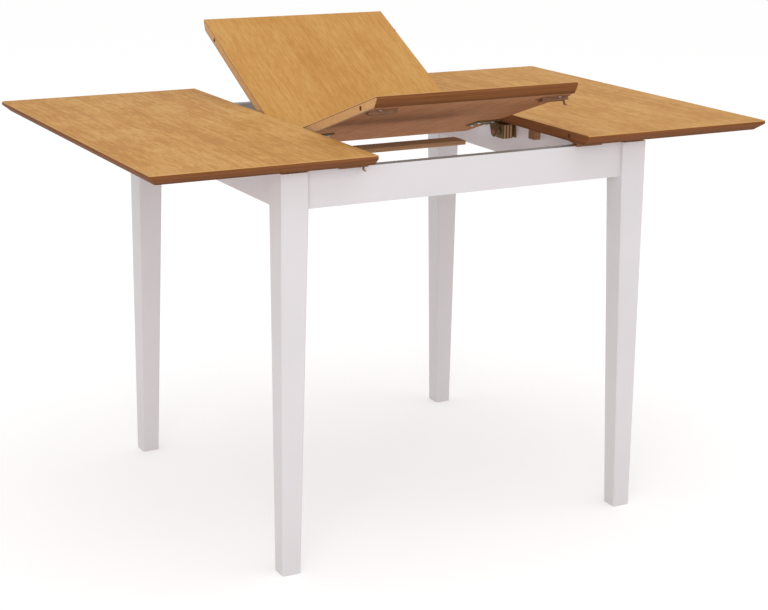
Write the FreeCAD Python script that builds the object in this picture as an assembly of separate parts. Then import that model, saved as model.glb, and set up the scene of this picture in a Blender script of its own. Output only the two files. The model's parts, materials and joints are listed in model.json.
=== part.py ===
import FreeCAD, Part
import math
import os
from collections import namedtuple

# Butterfly leaf table, drawn with its two top halves apart and the folding leaf half way up.
# X runs along the table as it extends, Y across it, Z up. The origin is on the floor, under the middle.
# Left is -X and the near side is -Y. All sizes are in millimetres.

Vector = FreeCAD.Vector

# --- the tops -------------------------------------------------------------------------------------
TOP_HEIGHT = 735.0          # floor to table top
TOP_THICKNESS = 18.0
TOP_WIDTH = 800.0           # across the table
HALF_LENGTH = 400.0         # one half of the closed top
LEAF_LENGTH = 400.0         # what the leaf adds to the length
SEAM_SPARE = 9.0            # each half stands this far off the leaf until it is pushed home
EDGE_UPRIGHT = 6.0          # upright part of an outer edge, above its bevel
EDGE_BEVEL = 14.0           # how far the bevel runs in under an outer edge
TOP_ARRIS = 1.2             # small chamfer round the top face
CORNER_CUT = 3.0

# --- the frame ------------------------------------------------------------------------------------
SIDE_OVERHANG = 42.0        # top past the legs, across the table
END_BAY = 58.0              # cross rail to leg, along the table
LEG_TOP = 50.0
LEG_FOOT = 34.0
LEG_ARRIS = 2.0
APRON_HEIGHT = 63.7
APRON_THICKNESS = 18.0
APRON_REVEAL = 8.0          # leg stands proud of the apron by this
CROSS_RAIL_THICKNESS = 18.0
HOUSING_DEPTH = 4.0         # cross rail ends are let into the long aprons
LEG_SEAT = 8.0              # flat on the inner corner of a leg, for its corner block
BLOCK_THICKNESS = 22.0
BLOCK_HEIGHT = 42.0
BLOCK_LIFT = 7.0            # corner block above the bottom edge of the aprons

# --- runners, stops and clips ---------------------------------------------------------------------
RUNNER_THICKNESS = 8.0
RUNNER_PLAY = 0.3           # between a runner and the rail under it
LONG_RUNNER_WIDTH = 46.0
SHORT_RUNNER_WIDTH = 30.0
RUNNER_SPACING = 8.0        # between the two runner lines on one side
RUNNER_SETBACK = 45.0       # runner end inside the outer end of its half
SHORT_RUNNER_SETBACK = 46.0  # short runner's other end inside the seam
TONGUE_BEARING = 14.0       # long runner past the far cross rail's face when the table is closed
TONGUE_RELIEF = 0.4         # bare tongue lies this much below the tops
RABBET_WIDTH = 7.0
RABBET_DEPTH = 4.0
STOP_WIDTH = 21.0
STOP_LENGTH = 12.4
STOP_DEPTH = 23.0
STOP_PLAY = 0.4
CLIP_SHEET = 2.0
CLIP_WIDTH = 15.0
CLIP_REACH = 18.0           # lip back over the rail
CLIP_FOOT = 10.7            # clip below the top of the rail
CLIP_PLAY = 0.5

# --- leaf pivots ----------------------------------------------------------------------------------
PIVOT_OFFSET = 106.0        # fold to pivot, across the table
PIVOT_DROP = 19.0           # underside of the leaf to pivot
PIVOT_BLOCK_THICKNESS = 31.0
PIVOT_BLOCK_WIDTH = 48.0
PIVOT_BLOCK_HEIGHT = 26.0
PIVOT_BLOCK_NOSE = 12.0     # near face to pivot
PIVOT_BLOCK_FOOT = 14.0     # bottom face to pivot
PIVOT_BLOCK_SPLAY = 24.0    # slope on the far bottom corner
PIVOT_SLOT_WIDTH = 7.0      # upright slot in the near face, beside the rail
PIVOT_SLOT_DEPTH = 9.0
PIVOT_SLOT_CHEEK = 2.5      # wood left between slot and rail
PIVOT_PIN_RADIUS = 4.0
PIVOT_PIN_DEPTH = 17.0      # pin inside its bush
PIN_HEAD_RADIUS = 6.0
PIN_HEAD = 2.5
BUSH_RADIUS = 6.0
BUSH_LENGTH = 20.0
BUSH_FLANGE = 1.5
BUSH_FLANGE_RADIUS = 8.0
BRACKET_SHEET = 2.5
BRACKET_LENGTH = 48.0
BRACKET_WIDTH = 44.0
BRACKET_SETBACK = 2.0       # bracket inside the end of the leaf
LUG_RADIUS = 10.0
RUNNING_FIT = 0.05          # radial, shaft in hole

# --- the leaf as it stands, and its fold hinges ---------------------------------------------------
NEAR_TILT = 19.03           # near half above the horizontal
FAR_TILT = 26.84            # far half above the horizontal
FOLD_GAP = 0.4              # each half ends this far from the fold
FOLD_RISE = 0.4             # fold axis above the top face
HINGE_SPACING = 150.0
HINGE_FACE_WIDTH = 34.0
HINGE_FACE_THICKNESS = 1.6
HINGE_WIDTH = 14.0
HINGE_DEPTH = 13.5
HINGE_HIGH = 3.5            # top of a hinge body below the fold axis
HINGE_LOW = 14.0            # bottom of a hinge body below the fold axis
LINK_INNER = 6.0
LINK_OUTER = 10.5
LINK_THICKNESS = 4.75
LINK_HALF_ANGLE = 72.0
LINK_PLAY = 0.3
LINK_END_PLAY = 3.0         # degrees
LINK_SPLIT = 0.15           # half the gap between the two links of a hinge
LINK_SIDES = 10             # a link's curve is drawn with this many flats

# --- dowels and seam latches ----------------------------------------------------------------------
DOWEL_RADIUS = 4.0
DOWEL_PROUD = 8.0
DOWEL_BURIED = 15.0
DOWEL_HOLE_DEPTH = 12.0
DOWEL_HOLE_PLAY = 0.2
DOWEL_INSET = 62.0          # outer dowel in from the side of the table
DOWEL_SPACING = 298.0       # outer dowel to the one beside the fold
TRACK_SHEET = 1.5
TRACK_LENGTH = 54.0
TRACK_FLANGE = 8.0
TRACK_LIP = 3.0
TRACK_INSET = 0.5           # track inside the end of its panel
BOLT_WIDTH = 12.0
BOLT_THICKNESS = 3.0
BOLT_LENGTH = 44.0
BOLT_SETBACK = 1.0          # nose of the drawn bolt inside the end of its panel
BOLT_PLAY = 0.4
TAB_WIDTH = 6.0
TAB_DROP = 16.0             # finger tab below the underside of the panel
TAB_CURL = 3.0
TAB_CLEAR = 4.0             # finger tab in front of the apron

# --- screws ---------------------------------------------------------------------------------------
SCREW_HEAD_RADIUS = 3.6
SCREW_HEAD_HEIGHT = 2.1
SCREW_SHANK_RADIUS = 1.9
SMALL_HEAD_RADIUS = 2.7
SMALL_HEAD_HEIGHT = 1.5
SMALL_SHANK_RADIUS = 1.4
RUNNER_SCREW_LENGTH = 20.0
BLOCK_SCREW_LENGTH = 24.0
PIVOT_SCREW_LENGTH = 42.0
STOP_SCREW_LENGTH = 32.0
BRACKET_SCREW_LENGTH = 13.0
SMALL_SCREW_LENGTH = 11.0
SCREW_PLAY = 0.05
RUNNER_SCREWS = 3           # in each runner
RUNNER_SCREW_MARGIN = 22.0  # outer screws in from the ends of a short runner
COUNTERBORE = 30.0
HANGER_RADIUS = 3.0
HANGER_BURIED = 30.0
HANGER_PROUD = 13.0
WASHER_RADIUS = 9.0
WASHER_THICKNESS = 1.6
NUT_ACROSS_CORNERS = 11.5
NUT_THICKNESS = 5.2

SCREW_HEAD_SIDES = 8        # fasteners and dowels are drawn with flats
SCREW_SHANK_SIDES = 6
PEG_SIDES = 12

# --- derived places -------------------------------------------------------------------------------
UNDERSIDE = TOP_HEIGHT - TOP_THICKNESS
RUNNER_BOTTOM = UNDERSIDE - RUNNER_THICKNESS
FRAME_TOP = RUNNER_BOTTOM - RUNNER_PLAY
FRAME_BOTTOM = FRAME_TOP - APRON_HEIGHT
HALF_WIDTH = TOP_WIDTH / 2
SEAM = LEAF_LENGTH / 2 + SEAM_SPARE
OUTER_END = SEAM + HALF_LENGTH
RAIL_FACE = SEAM + PIVOT_BLOCK_THICKNESS
RAIL_BACK = RAIL_FACE + CROSS_RAIL_THICKNESS
LEG_INNER_X = RAIL_BACK + END_BAY
LEG_X = LEG_INNER_X + LEG_TOP
LEG_Y = HALF_WIDTH - SIDE_OVERHANG
LEG_INNER_Y = LEG_Y - LEG_TOP
APRON_FACE_X = LEG_X - APRON_REVEAL
APRON_FACE_Y = LEG_Y - APRON_REVEAL
APRON_BACK_X = APRON_FACE_X - APRON_THICKNESS
APRON_BACK_Y = APRON_FACE_Y - APRON_THICKNESS
SHORT_OUTER = LEG_INNER_Y - CLIP_WIDTH - 2 * CLIP_PLAY
SHORT_INNER = SHORT_OUTER - SHORT_RUNNER_WIDTH
LONG_OUTER = SHORT_INNER - RUNNER_SPACING
LONG_INNER = LONG_OUTER - LONG_RUNNER_WIDTH
STOP_OUTER = LONG_INNER - RUNNER_SPACING
STOP_INNER = STOP_OUTER - STOP_WIDTH
TONGUE_END = RAIL_FACE + TONGUE_BEARING - SEAM
BLOCK_BOTTOM = FRAME_BOTTOM + BLOCK_LIFT
BLOCK_MIDDLE = BLOCK_BOTTOM + BLOCK_HEIGHT / 2
PIVOT_Y = -PIVOT_OFFSET
PIVOT_Z = UNDERSIDE - PIVOT_DROP
FOLD_Z = TOP_HEIGHT + FOLD_RISE
DOWEL_Z = TOP_HEIGHT - TOP_THICKNESS / 2
DOWEL_YS = (HALF_WIDTH - DOWEL_INSET, HALF_WIDTH - DOWEL_INSET - DOWEL_SPACING)
LATCH_Y = -(APRON_FACE_Y + TAB_CLEAR + TAB_WIDTH / 2)
BOLT_TOP = UNDERSIDE - TRACK_SHEET - BOLT_PLAY
SIDES = (-1, 1)
Screw = namedtuple("Screw", "head_radius head_height shank_radius length")
STOUT = (SCREW_HEAD_RADIUS, SCREW_HEAD_HEIGHT, SCREW_SHANK_RADIUS)
RUNNER_SCREW = Screw(*STOUT, RUNNER_SCREW_LENGTH)
BLOCK_SCREW = Screw(*STOUT, BLOCK_SCREW_LENGTH)
PIVOT_SCREW = Screw(*STOUT, PIVOT_SCREW_LENGTH)
STOP_SCREW = Screw(*STOUT, STOP_SCREW_LENGTH)
BRACKET_SCREW = Screw(*STOUT, BRACKET_SCREW_LENGTH)
SMALL_SCREW = Screw(SMALL_HEAD_RADIUS, SMALL_HEAD_HEIGHT, SMALL_SHANK_RADIUS, SMALL_SCREW_LENGTH)

ALONG = Vector(1, 0, 0)
ACROSS = Vector(0, 1, 0)
UP = Vector(0, 0, 1)


# --- general shapes -------------------------------------------------------------------------------
def block(x0, x1, y0, y1, z0, z1):
    """Box between two corners, given in any order."""
    low = Vector(min(x0, x1), min(y0, y1), min(z0, z1))
    return Part.makeBox(abs(x1 - x0), abs(y1 - y0), abs(z1 - z0), low)


def prism(points, depth):
    """Solid swept from a closed outline along the vector depth."""
    wire = Part.makePolygon(points + points[:1])
    return Part.Face(wire).extrude(depth)


def rod(radius, start, direction, length):
    return Part.makeCylinder(radius, length, start, direction)


def peg(radius, start, direction, length, sides):
    """Straight bar of even flats, for what is small and repeats."""
    beside = direction.cross(UP)
    if beside.Length < 0.5:
        beside = Vector(ALONG)
    beside.normalize()
    other = direction.cross(beside)
    corners = []
    for i in range(sides):
        angle = 2 * math.pi * (i + 0.5) / sides
        corners.append(start + (beside * math.cos(angle) + other * math.sin(angle)) * radius)
    return prism(corners, direction * length)


def outline(x0, x1, y0, y1, z, cuts):
    """Closed rectangle at height z; cuts gives how much is taken off each corner, from the low one."""
    corners = [Vector(x0, y0, z), Vector(x1, y0, z), Vector(x1, y1, z), Vector(x0, y1, z)]
    ways = [ALONG, ACROSS, ALONG * -1, ACROSS * -1]
    points = []
    for i, size in enumerate(cuts):
        if size:
            points.append(corners[i] - ways[i - 1] * size)
        points.append(corners[i] + ways[i] * size)
    return points


def stacked(rings):
    """Solid with flat sides through closed outlines, each above the one before it."""
    faces = [Part.Face(Part.makePolygon(ring + ring[:1])) for ring in (rings[0], rings[-1])]
    for low, high in zip(rings, rings[1:]):
        for i in range(len(low)):
            side = [low[i - 1], low[i], high[i], high[i - 1]]
            faces.append(Part.Face(Part.makePolygon(side + side[:1])))
    solid = Part.Solid(Part.Shell(faces)).removeSplitter()
    if solid.Volume < 0:
        solid.reverse()
    return solid


def group(solids):
    return Part.makeCompound(solids)


def cut(shape, tools):
    return shape.cut(group(tools))


def half_turn(shape):
    """The same piece on the other end of the table, turned about the upright axis."""
    turned = shape.copy()
    turned.rotate(Vector(0, 0, 0), UP, 180)
    return turned


def spread(start, end, count):
    """Evenly spaced places from start to end."""
    return [start + (end - start) * i / (count - 1) for i in range(count)]


def ring_sector(inner, outer, half_angle, x0, x1, y, z):
    """Part of a ring about the X direction, centred on the downward side of its axis, in short flats."""
    middle = Vector(x0, y, z)
    turns = [math.radians(angle) for angle in spread(-half_angle, half_angle, LINK_SIDES + 1)]
    ways = [Vector(0, math.sin(turn), -math.cos(turn)) for turn in turns]
    corners = [middle + way * outer for way in ways] + [middle + way * inner for way in reversed(ways)]
    return prism(corners, Vector(x1 - x0, 0, 0))


# --- screws ---------------------------------------------------------------------------------------
def screw(spec, seat, into):
    """Screw whose head sits with its underside at seat and whose shank points along into."""
    head = peg(spec.head_radius, seat - into * spec.head_height, into, spec.head_height, SCREW_HEAD_SIDES)
    return head.fuse(peg(spec.shank_radius, seat, into, spec.length, SCREW_SHANK_SIDES))


def screw_hole(spec, seat, into):
    """Pilot hole for a screw, with a counterbore behind the head."""
    pilot = peg(spec.shank_radius + SCREW_PLAY, seat, into, spec.length + SCREW_PLAY, SCREW_SHANK_SIDES)
    back = seat - into * COUNTERBORE
    return pilot.fuse(peg(spec.head_radius + SCREW_PLAY, back, into, COUNTERBORE, SCREW_HEAD_SIDES))


def screws(spec, seats, into):
    return [screw(spec, seat, into) for seat in seats]


def screw_holes(spec, seats, into):
    return [screw_hole(spec, seat, into) for seat in seats]


# --- legs and aprons ------------------------------------------------------------------------------
def leg(side_x, side_y):
    """Leg tapered on its two inner faces, with a flat on the inner corner for the corner block."""
    sections = []
    for z, width in ((0, LEG_FOOT), (FRAME_BOTTOM, LEG_TOP), (FRAME_TOP, LEG_TOP)):
        xs = sorted((side_x * LEG_X, side_x * (LEG_X - width)))
        ys = sorted((side_y * LEG_Y, side_y * (LEG_Y - width)))
        sections.append(outline(*xs, *ys, z, [LEG_ARRIS] * 4))
    post = stacked(sections)
    x = side_x * LEG_INNER_X
    y = side_y * LEG_INNER_Y
    flat = [
        Vector(x, y, FRAME_BOTTOM),
        Vector(x + side_x * LEG_SEAT, y, FRAME_BOTTOM),
        Vector(x, y + side_y * LEG_SEAT, FRAME_BOTTOM),
    ]
    post = post.cut(prism(flat, UP * APRON_HEIGHT))
    return cut(post, [hanger_hole(side_x, side_y)])


def corner_way(side_x, side_y):
    """Level direction from a leg's inner corner towards the middle of the table."""
    return Vector(-side_x, -side_y, 0).normalize()


def corner_seat(side_x, side_y):
    """Middle of the flat on a leg's inner corner, at the height of the hanger bolt."""
    x = side_x * (LEG_INNER_X + LEG_SEAT / 2)
    y = side_y * (LEG_INNER_Y + LEG_SEAT / 2)
    return Vector(x, y, BLOCK_MIDDLE)


def corner_block(side_x, side_y):
    """Wooden block across a corner of the frame, between both aprons and against the leg."""
    reach = LEG_INNER_X + LEG_INNER_Y + LEG_SEAT
    depth = BLOCK_THICKNESS * math.sqrt(2)
    plan = [
        (reach - APRON_BACK_Y, APRON_BACK_Y),
        (APRON_BACK_X, reach - APRON_BACK_X),
        (APRON_BACK_X, reach - APRON_BACK_X - depth),
        (reach - APRON_BACK_Y - depth, APRON_BACK_Y),
    ]
    corners = [Vector(side_x * x, side_y * y, BLOCK_BOTTOM) for x, y in plan]
    wood = prism(corners, UP * BLOCK_HEIGHT)
    holes = [hanger_hole(side_x, side_y)]
    for seat, into in corner_screw_seats(side_x, side_y):
        holes.append(screw_hole(BLOCK_SCREW, seat, into))
    return cut(wood, holes)


def corner_screw_seats(side_x, side_y):
    """One screw from each wing of a corner block, square into its apron."""
    reach = LEG_INNER_X + LEG_INNER_Y + LEG_SEAT - BLOCK_THICKNESS * math.sqrt(2)
    wing = 2 * BLOCK_SCREW.head_radius + LEG_SEAT
    sink = BLOCK_SCREW.head_height
    x = reach - APRON_BACK_Y + wing
    y = reach - APRON_BACK_X + wing
    long_seat = Vector(side_x * x, side_y * (reach - x + sink + BLOCK_SCREW.head_radius), BLOCK_MIDDLE)
    end_seat = Vector(side_x * (reach - y + sink + BLOCK_SCREW.head_radius), side_y * y, BLOCK_MIDDLE)
    return [(long_seat, ACROSS * side_y), (end_seat, ALONG * side_x)]


def hanger_start(side_x, side_y):
    return corner_seat(side_x, side_y) - corner_way(side_x, side_y) * HANGER_BURIED


def hanger_bolt(side_x, side_y):
    start = hanger_start(side_x, side_y)
    length = HANGER_BURIED + BLOCK_THICKNESS + HANGER_PROUD
    return peg(HANGER_RADIUS, start, corner_way(side_x, side_y), length, SCREW_HEAD_SIDES)


def hanger_hole(side_x, side_y):
    way = corner_way(side_x, side_y)
    start = hanger_start(side_x, side_y) - way * SCREW_PLAY
    length = HANGER_BURIED + BLOCK_THICKNESS + HANGER_PROUD + SCREW_PLAY
    return peg(HANGER_RADIUS + SCREW_PLAY, start, way, length, SCREW_HEAD_SIDES)


def hanger_washer(side_x, side_y):
    way = corner_way(side_x, side_y)
    face = corner_seat(side_x, side_y) + way * BLOCK_THICKNESS
    ring = peg(WASHER_RADIUS, face, way, WASHER_THICKNESS, PEG_SIDES)
    return ring.cut(hanger_hole(side_x, side_y))


def hanger_nut(side_x, side_y):
    """Hexagon nut against the washer."""
    way = corner_way(side_x, side_y)
    face = corner_seat(side_x, side_y) + way * (BLOCK_THICKNESS + WASHER_THICKNESS)
    return peg(NUT_ACROSS_CORNERS / 2, face, way, NUT_THICKNESS, 6).cut(hanger_hole(side_x, side_y))


def long_apron(side_y):
    """Apron along the table, with grooves in its back for the ends of both cross rails."""
    back = side_y * APRON_BACK_Y
    board = block(-LEG_INNER_X, LEG_INNER_X, back, side_y * APRON_FACE_Y, FRAME_BOTTOM, FRAME_TOP)
    groove_end = side_y * (APRON_BACK_Y + HOUSING_DEPTH)
    holes = []
    for side_x in SIDES:
        holes.append(block(side_x * RAIL_FACE, side_x * RAIL_BACK, back, groove_end, FRAME_BOTTOM, FRAME_TOP))
        seat, into = corner_screw_seats(side_x, side_y)[0]
        holes.append(screw_hole(BLOCK_SCREW, seat, into))
    return cut(board, holes)


def end_apron(side_x):
    """Apron across one end of the table."""
    back = side_x * APRON_BACK_X
    board = block(back, side_x * APRON_FACE_X, -LEG_INNER_Y, LEG_INNER_Y, FRAME_BOTTOM, FRAME_TOP)
    holes = clip_holes(side_x, APRON_BACK_X, -1)
    for side_y in SIDES:
        seat, into = corner_screw_seats(side_x, side_y)[1]
        holes.append(screw_hole(BLOCK_SCREW, seat, into))
    return cut(board, holes)


def cross_rail(side_x):
    """Rail across the frame, at one side of the well that the leaf is stored in."""
    end = APRON_BACK_Y + HOUSING_DEPTH
    board = block(side_x * RAIL_FACE, side_x * RAIL_BACK, -end, end, FRAME_BOTTOM, FRAME_TOP)
    holes = clip_holes(side_x, RAIL_BACK, 1)
    holes += screw_holes(PIVOT_SCREW, pivot_screw_seats(side_x), ALONG * side_x)
    return cut(board, holes)


# --- runners, stops and clips ---------------------------------------------------------------------
def long_runner():
    """Left half's long runner, which bridges to the far cross rail when the table is closed."""
    x0 = RUNNER_SETBACK - OUTER_END
    x1 = TONGUE_END
    bar = block(x0, x1, -LONG_OUTER, -LONG_INNER, RUNNER_BOTTOM, UNDERSIDE)
    rabbet = block(x0, x1, -LONG_INNER - RABBET_WIDTH, -LONG_INNER, UNDERSIDE - RABBET_DEPTH, UNDERSIDE)
    relief = block(-SEAM, x1, -LONG_OUTER, -LONG_INNER, UNDERSIDE - TONGUE_RELIEF, UNDERSIDE)
    return cut(bar, [rabbet, relief] + screw_holes(RUNNER_SCREW, runner_seats(-1), UP))


def short_runner():
    """Left half's short runner, on its other side."""
    x0 = RUNNER_SETBACK - OUTER_END
    x1 = -SEAM - SHORT_RUNNER_SETBACK
    bar = block(x0, x1, SHORT_INNER, SHORT_OUTER, RUNNER_BOTTOM, UNDERSIDE)
    rabbet = block(x0, x1, SHORT_OUTER - RABBET_WIDTH, SHORT_OUTER, UNDERSIDE - RABBET_DEPTH, UNDERSIDE)
    return cut(bar, [rabbet] + screw_holes(RUNNER_SCREW, runner_seats(1), UP))


def runner_seats(side_y):
    """Screws up through one runner of the left half into the top."""
    if side_y < 0:
        y = -(LONG_OUTER + LONG_INNER + RABBET_WIDTH) / 2
    else:
        y = (SHORT_OUTER - RABBET_WIDTH + SHORT_INNER) / 2
    x0 = RUNNER_SETBACK + RUNNER_SCREW_MARGIN - OUTER_END
    x1 = -SEAM - SHORT_RUNNER_SETBACK - RUNNER_SCREW_MARGIN
    xs = spread(x0, x1, RUNNER_SCREWS)
    return [Vector(x, y, RUNNER_BOTTOM + RUNNER_SCREW.head_height) for x in xs]


def stop_blocks():
    """Blocks under the left half that meet the cross rail when the table is fully open."""
    x1 = -RAIL_FACE + STOP_PLAY
    blocks = []
    for side_y in SIDES:
        wood = block(x1, x1 + STOP_LENGTH, side_y * STOP_INNER, side_y * STOP_OUTER,
                     UNDERSIDE - STOP_DEPTH, UNDERSIDE)
        blocks.append(cut(wood, screw_holes(STOP_SCREW, stop_seats(side_y), UP)))
    return blocks


def stop_seats(side_y):
    x = STOP_PLAY + STOP_LENGTH / 2 - RAIL_FACE
    y = side_y * (STOP_INNER + STOP_OUTER) / 2
    z = UNDERSIDE - STOP_DEPTH + STOP_SCREW.head_height
    return [Vector(x, y, z)]


def clip_lines(side_x):
    """Runner edges held on one end of the table: place, and the way from the runner to its clip."""
    return [(side_x * LONG_INNER, -side_x), (-side_x * SHORT_OUTER, -side_x)]


def clip_seats(side_x, face, facing):
    """Screws of the clips on one face of a rail or end apron; facing is +1 when it faces outwards."""
    x = side_x * (face + facing * CLIP_SHEET)
    z = FRAME_TOP - CLIP_FOOT / 2
    return [Vector(x, y + way * (CLIP_PLAY + CLIP_WIDTH / 2), z) for y, way in clip_lines(side_x)]


def clip_holes(side_x, face, facing):
    return screw_holes(SMALL_SCREW, clip_seats(side_x, face, facing), ALONG * (-side_x * facing))


def runner_clips(side_x, face, facing):
    """Bent steel clips that hold two runners down on a rail or end apron."""
    lip_top = UNDERSIDE - RABBET_DEPTH + CLIP_PLAY + CLIP_SHEET
    outward = side_x * facing
    x0 = side_x * face
    clips = []
    for y, way in clip_lines(side_x):
        y0 = y + way * CLIP_PLAY
        y1 = y0 + way * CLIP_WIDTH
        web = block(x0, x0 + outward * CLIP_SHEET, y0, y1, FRAME_TOP - CLIP_FOOT, lip_top)
        lip = block(x0 + outward * CLIP_SHEET, x0 - outward * (CLIP_REACH - CLIP_SHEET),
                    y - way * (RABBET_WIDTH - CLIP_PLAY), y1, lip_top - CLIP_SHEET, lip_top)
        clips.append(web.fuse(lip).removeSplitter())
    holes = group(clip_holes(side_x, face, facing))
    return [clip.cut(holes) for clip in clips]


# --- leaf pivots ----------------------------------------------------------------------------------
def pivot_block(side_x):
    """Wooden block on the cross rail that carries one pivot of the leaf."""
    near = PIVOT_Y - PIVOT_BLOCK_NOSE
    low = PIVOT_Z - PIVOT_BLOCK_FOOT
    high = low + PIVOT_BLOCK_HEIGHT
    far = near + PIVOT_BLOCK_WIDTH
    x = side_x * SEAM
    profile = [
        Vector(x, near, low),
        Vector(x, far - PIVOT_BLOCK_SPLAY, low),
        Vector(x, far, high - PIVOT_BLOCK_HEIGHT / 4),
        Vector(x, far, high),
        Vector(x, near, high),
    ]
    wood = prism(profile, ALONG * (side_x * PIVOT_BLOCK_THICKNESS))
    bore = peg(BUSH_RADIUS + RUNNING_FIT, Vector(x, PIVOT_Y, PIVOT_Z), ALONG * side_x, BUSH_LENGTH, PEG_SIDES)
    slot_x = side_x * (RAIL_FACE - PIVOT_SLOT_CHEEK)
    slot = block(slot_x, slot_x - side_x * PIVOT_SLOT_WIDTH, near, near + PIVOT_SLOT_DEPTH, low, high)
    return cut(wood, [bore, slot] + screw_holes(PIVOT_SCREW, pivot_screw_seats(side_x), ALONG * side_x))


def pivot_screw_seats(side_x):
    """Two screws through a pivot block into the cross rail, clear of the bush and of the slope."""
    far = PIVOT_Y - PIVOT_BLOCK_NOSE + PIVOT_BLOCK_WIDTH
    low = PIVOT_Z - PIVOT_BLOCK_FOOT
    margin = 1.6 * PIVOT_SCREW.head_radius
    x = side_x * (SEAM + PIVOT_SCREW.head_height)
    upper = Vector(x, far - margin, low + PIVOT_BLOCK_HEIGHT - margin)
    lower = Vector(x, far - PIVOT_BLOCK_SPLAY, low + margin)
    return [upper, lower]


def pivot_bush(side_x):
    """Flanged nylon bush that the pivot pin turns in."""
    start = Vector(side_x * (SEAM - BUSH_FLANGE), PIVOT_Y, PIVOT_Z)
    way = ALONG * side_x
    body = peg(BUSH_FLANGE_RADIUS, start, way, BUSH_FLANGE, PEG_SIDES)
    body = body.fuse(peg(BUSH_RADIUS, start, way, BUSH_FLANGE + BUSH_LENGTH, PEG_SIDES))
    return body.cut(rod(PIVOT_PIN_RADIUS + RUNNING_FIT, start, way, BUSH_FLANGE + BUSH_LENGTH))


def pivot_bracket(side_x):
    """Steel angle under the near half of the leaf, with a lug down to the pivot."""
    outer = side_x * (LEAF_LENGTH / 2 - BRACKET_SETBACK)
    lug_inner = outer - side_x * BRACKET_SHEET
    y0 = PIVOT_Y - BRACKET_WIDTH / 2
    y1 = PIVOT_Y + BRACKET_WIDTH / 2
    plate = block(outer, outer - side_x * BRACKET_LENGTH, y0, y1, UNDERSIDE - BRACKET_SHEET, UNDERSIDE)
    way = ALONG * side_x
    centre = Vector(lug_inner, PIVOT_Y, PIVOT_Z)
    shoulder = LUG_RADIUS * math.tan(math.pi / 8)
    profile = [(-LUG_RADIUS, PIVOT_DROP), (-LUG_RADIUS, -shoulder), (-shoulder, -LUG_RADIUS),
               (shoulder, -LUG_RADIUS), (LUG_RADIUS, -shoulder), (LUG_RADIUS, PIVOT_DROP)]
    lug = prism([centre + Vector(0, y, z) for y, z in profile], way * BRACKET_SHEET)
    shape = plate.fuse(lug).removeSplitter()
    corner_radius = (PIVOT_PIN_RADIUS + RUNNING_FIT) / math.cos(math.pi / PEG_SIDES)
    pin_hole = peg(corner_radius, centre, way, BRACKET_SHEET, PEG_SIDES)
    return cut(shape, [pin_hole] + screw_holes(BRACKET_SCREW, bracket_seats(side_x), UP))


def bracket_seats(side_x):
    """Four screws at the corners of a pivot bracket's plate."""
    margin = 2.5 * BRACKET_SCREW.head_radius
    outer = LEAF_LENGTH / 2 - BRACKET_SETBACK
    seats = []
    for x in (outer - margin, outer - BRACKET_LENGTH + margin):
        for y in (PIVOT_Y - BRACKET_WIDTH / 2 + margin, PIVOT_Y + BRACKET_WIDTH / 2 - margin):
            seats.append(Vector(side_x * x, y, UNDERSIDE - BRACKET_SHEET))
    return seats


def pivot_pin(side_x):
    """Headed steel pin from the bracket's lug into the bush."""
    inner = side_x * (LEAF_LENGTH / 2 - BRACKET_SETBACK - BRACKET_SHEET)
    way = ALONG * side_x
    centre = Vector(inner, PIVOT_Y, PIVOT_Z)
    length = SEAM + PIVOT_PIN_DEPTH - abs(inner)
    head = peg(PIN_HEAD_RADIUS, centre - way * PIN_HEAD, way, PIN_HEAD, PEG_SIDES)
    return head.fuse(rod(PIVOT_PIN_RADIUS, centre, way, length))


# --- fold hinges ----------------------------------------------------------------------------------
def hinge_centres():
    return [-HINGE_SPACING, 0.0, HINGE_SPACING]


def hinge_space(x, side_y):
    """What one hinge body fills in the edge of its leaf half: an oblong face plate and a box behind it."""
    high = FOLD_Z - HINGE_HIGH
    low = FOLD_Z - HINGE_LOW
    middle = Vector(x, side_y * FOLD_GAP, (high + low) / 2)
    half = HINGE_FACE_WIDTH / 2
    rise = (high - low) / 2
    shoulder = rise * math.tan(math.pi / 8)
    quarter = [(half - rise + shoulder, rise), (half, shoulder)]
    right = quarter + [(a, -b) for a, b in reversed(quarter)]
    plan = right + [(-a, -b) for a, b in right]
    face = prism([middle + Vector(a, 0, b) for a, b in plan], ACROSS * (side_y * HINGE_FACE_THICKNESS))
    case = block(x - HINGE_WIDTH / 2, x + HINGE_WIDTH / 2, middle.y, side_y * HINGE_DEPTH, low, high)
    return face.fuse(case).removeSplitter()


def link_slot(x):
    """Curved way that both links of a hinge swing in."""
    half = LINK_SPLIT + LINK_THICKNESS + LINK_PLAY
    return ring_sector(LINK_INNER - LINK_PLAY, LINK_OUTER + LINK_PLAY, LINK_HALF_ANGLE + LINK_END_PLAY,
                       x - half, x + half, 0, FOLD_Z)


def hinge_body(x, side_y):
    """One half of a concealed hinge, open along the curved way of its links."""
    holes = [link_slot(x)] + screw_holes(SMALL_SCREW, hinge_screw_seats(x, side_y), ACROSS * side_y)
    return cut(hinge_space(x, side_y), holes)


def hinge_screw_seats(x, side_y):
    """Two screws through the face plate, sunk flush with it."""
    offset = (HINGE_FACE_WIDTH / 2 + HINGE_WIDTH / 2) / 2
    y = side_y * (FOLD_GAP + HINGE_FACE_THICKNESS)
    z = FOLD_Z - (HINGE_HIGH + HINGE_LOW) / 2
    return [Vector(x - offset, y, z), Vector(x + offset, y, z)]


def hinge_link(x, side):
    """Curved link; each hinge has two, side by side, so that the fold can close flat."""
    x0 = x + side * LINK_SPLIT
    x1 = x0 + side * LINK_THICKNESS
    return ring_sector(LINK_INNER, LINK_OUTER, LINK_HALF_ANGLE, x0, x1, 0, FOLD_Z)


# --- dowels and seam latches ----------------------------------------------------------------------
def dowel(x, y, way):
    """Wooden dowel glued into an edge at x and standing out of it along way."""
    start = Vector(x - way * DOWEL_BURIED, y, DOWEL_Z)
    return peg(DOWEL_RADIUS, start, ALONG * way, DOWEL_BURIED + DOWEL_PROUD, PEG_SIDES)


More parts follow.
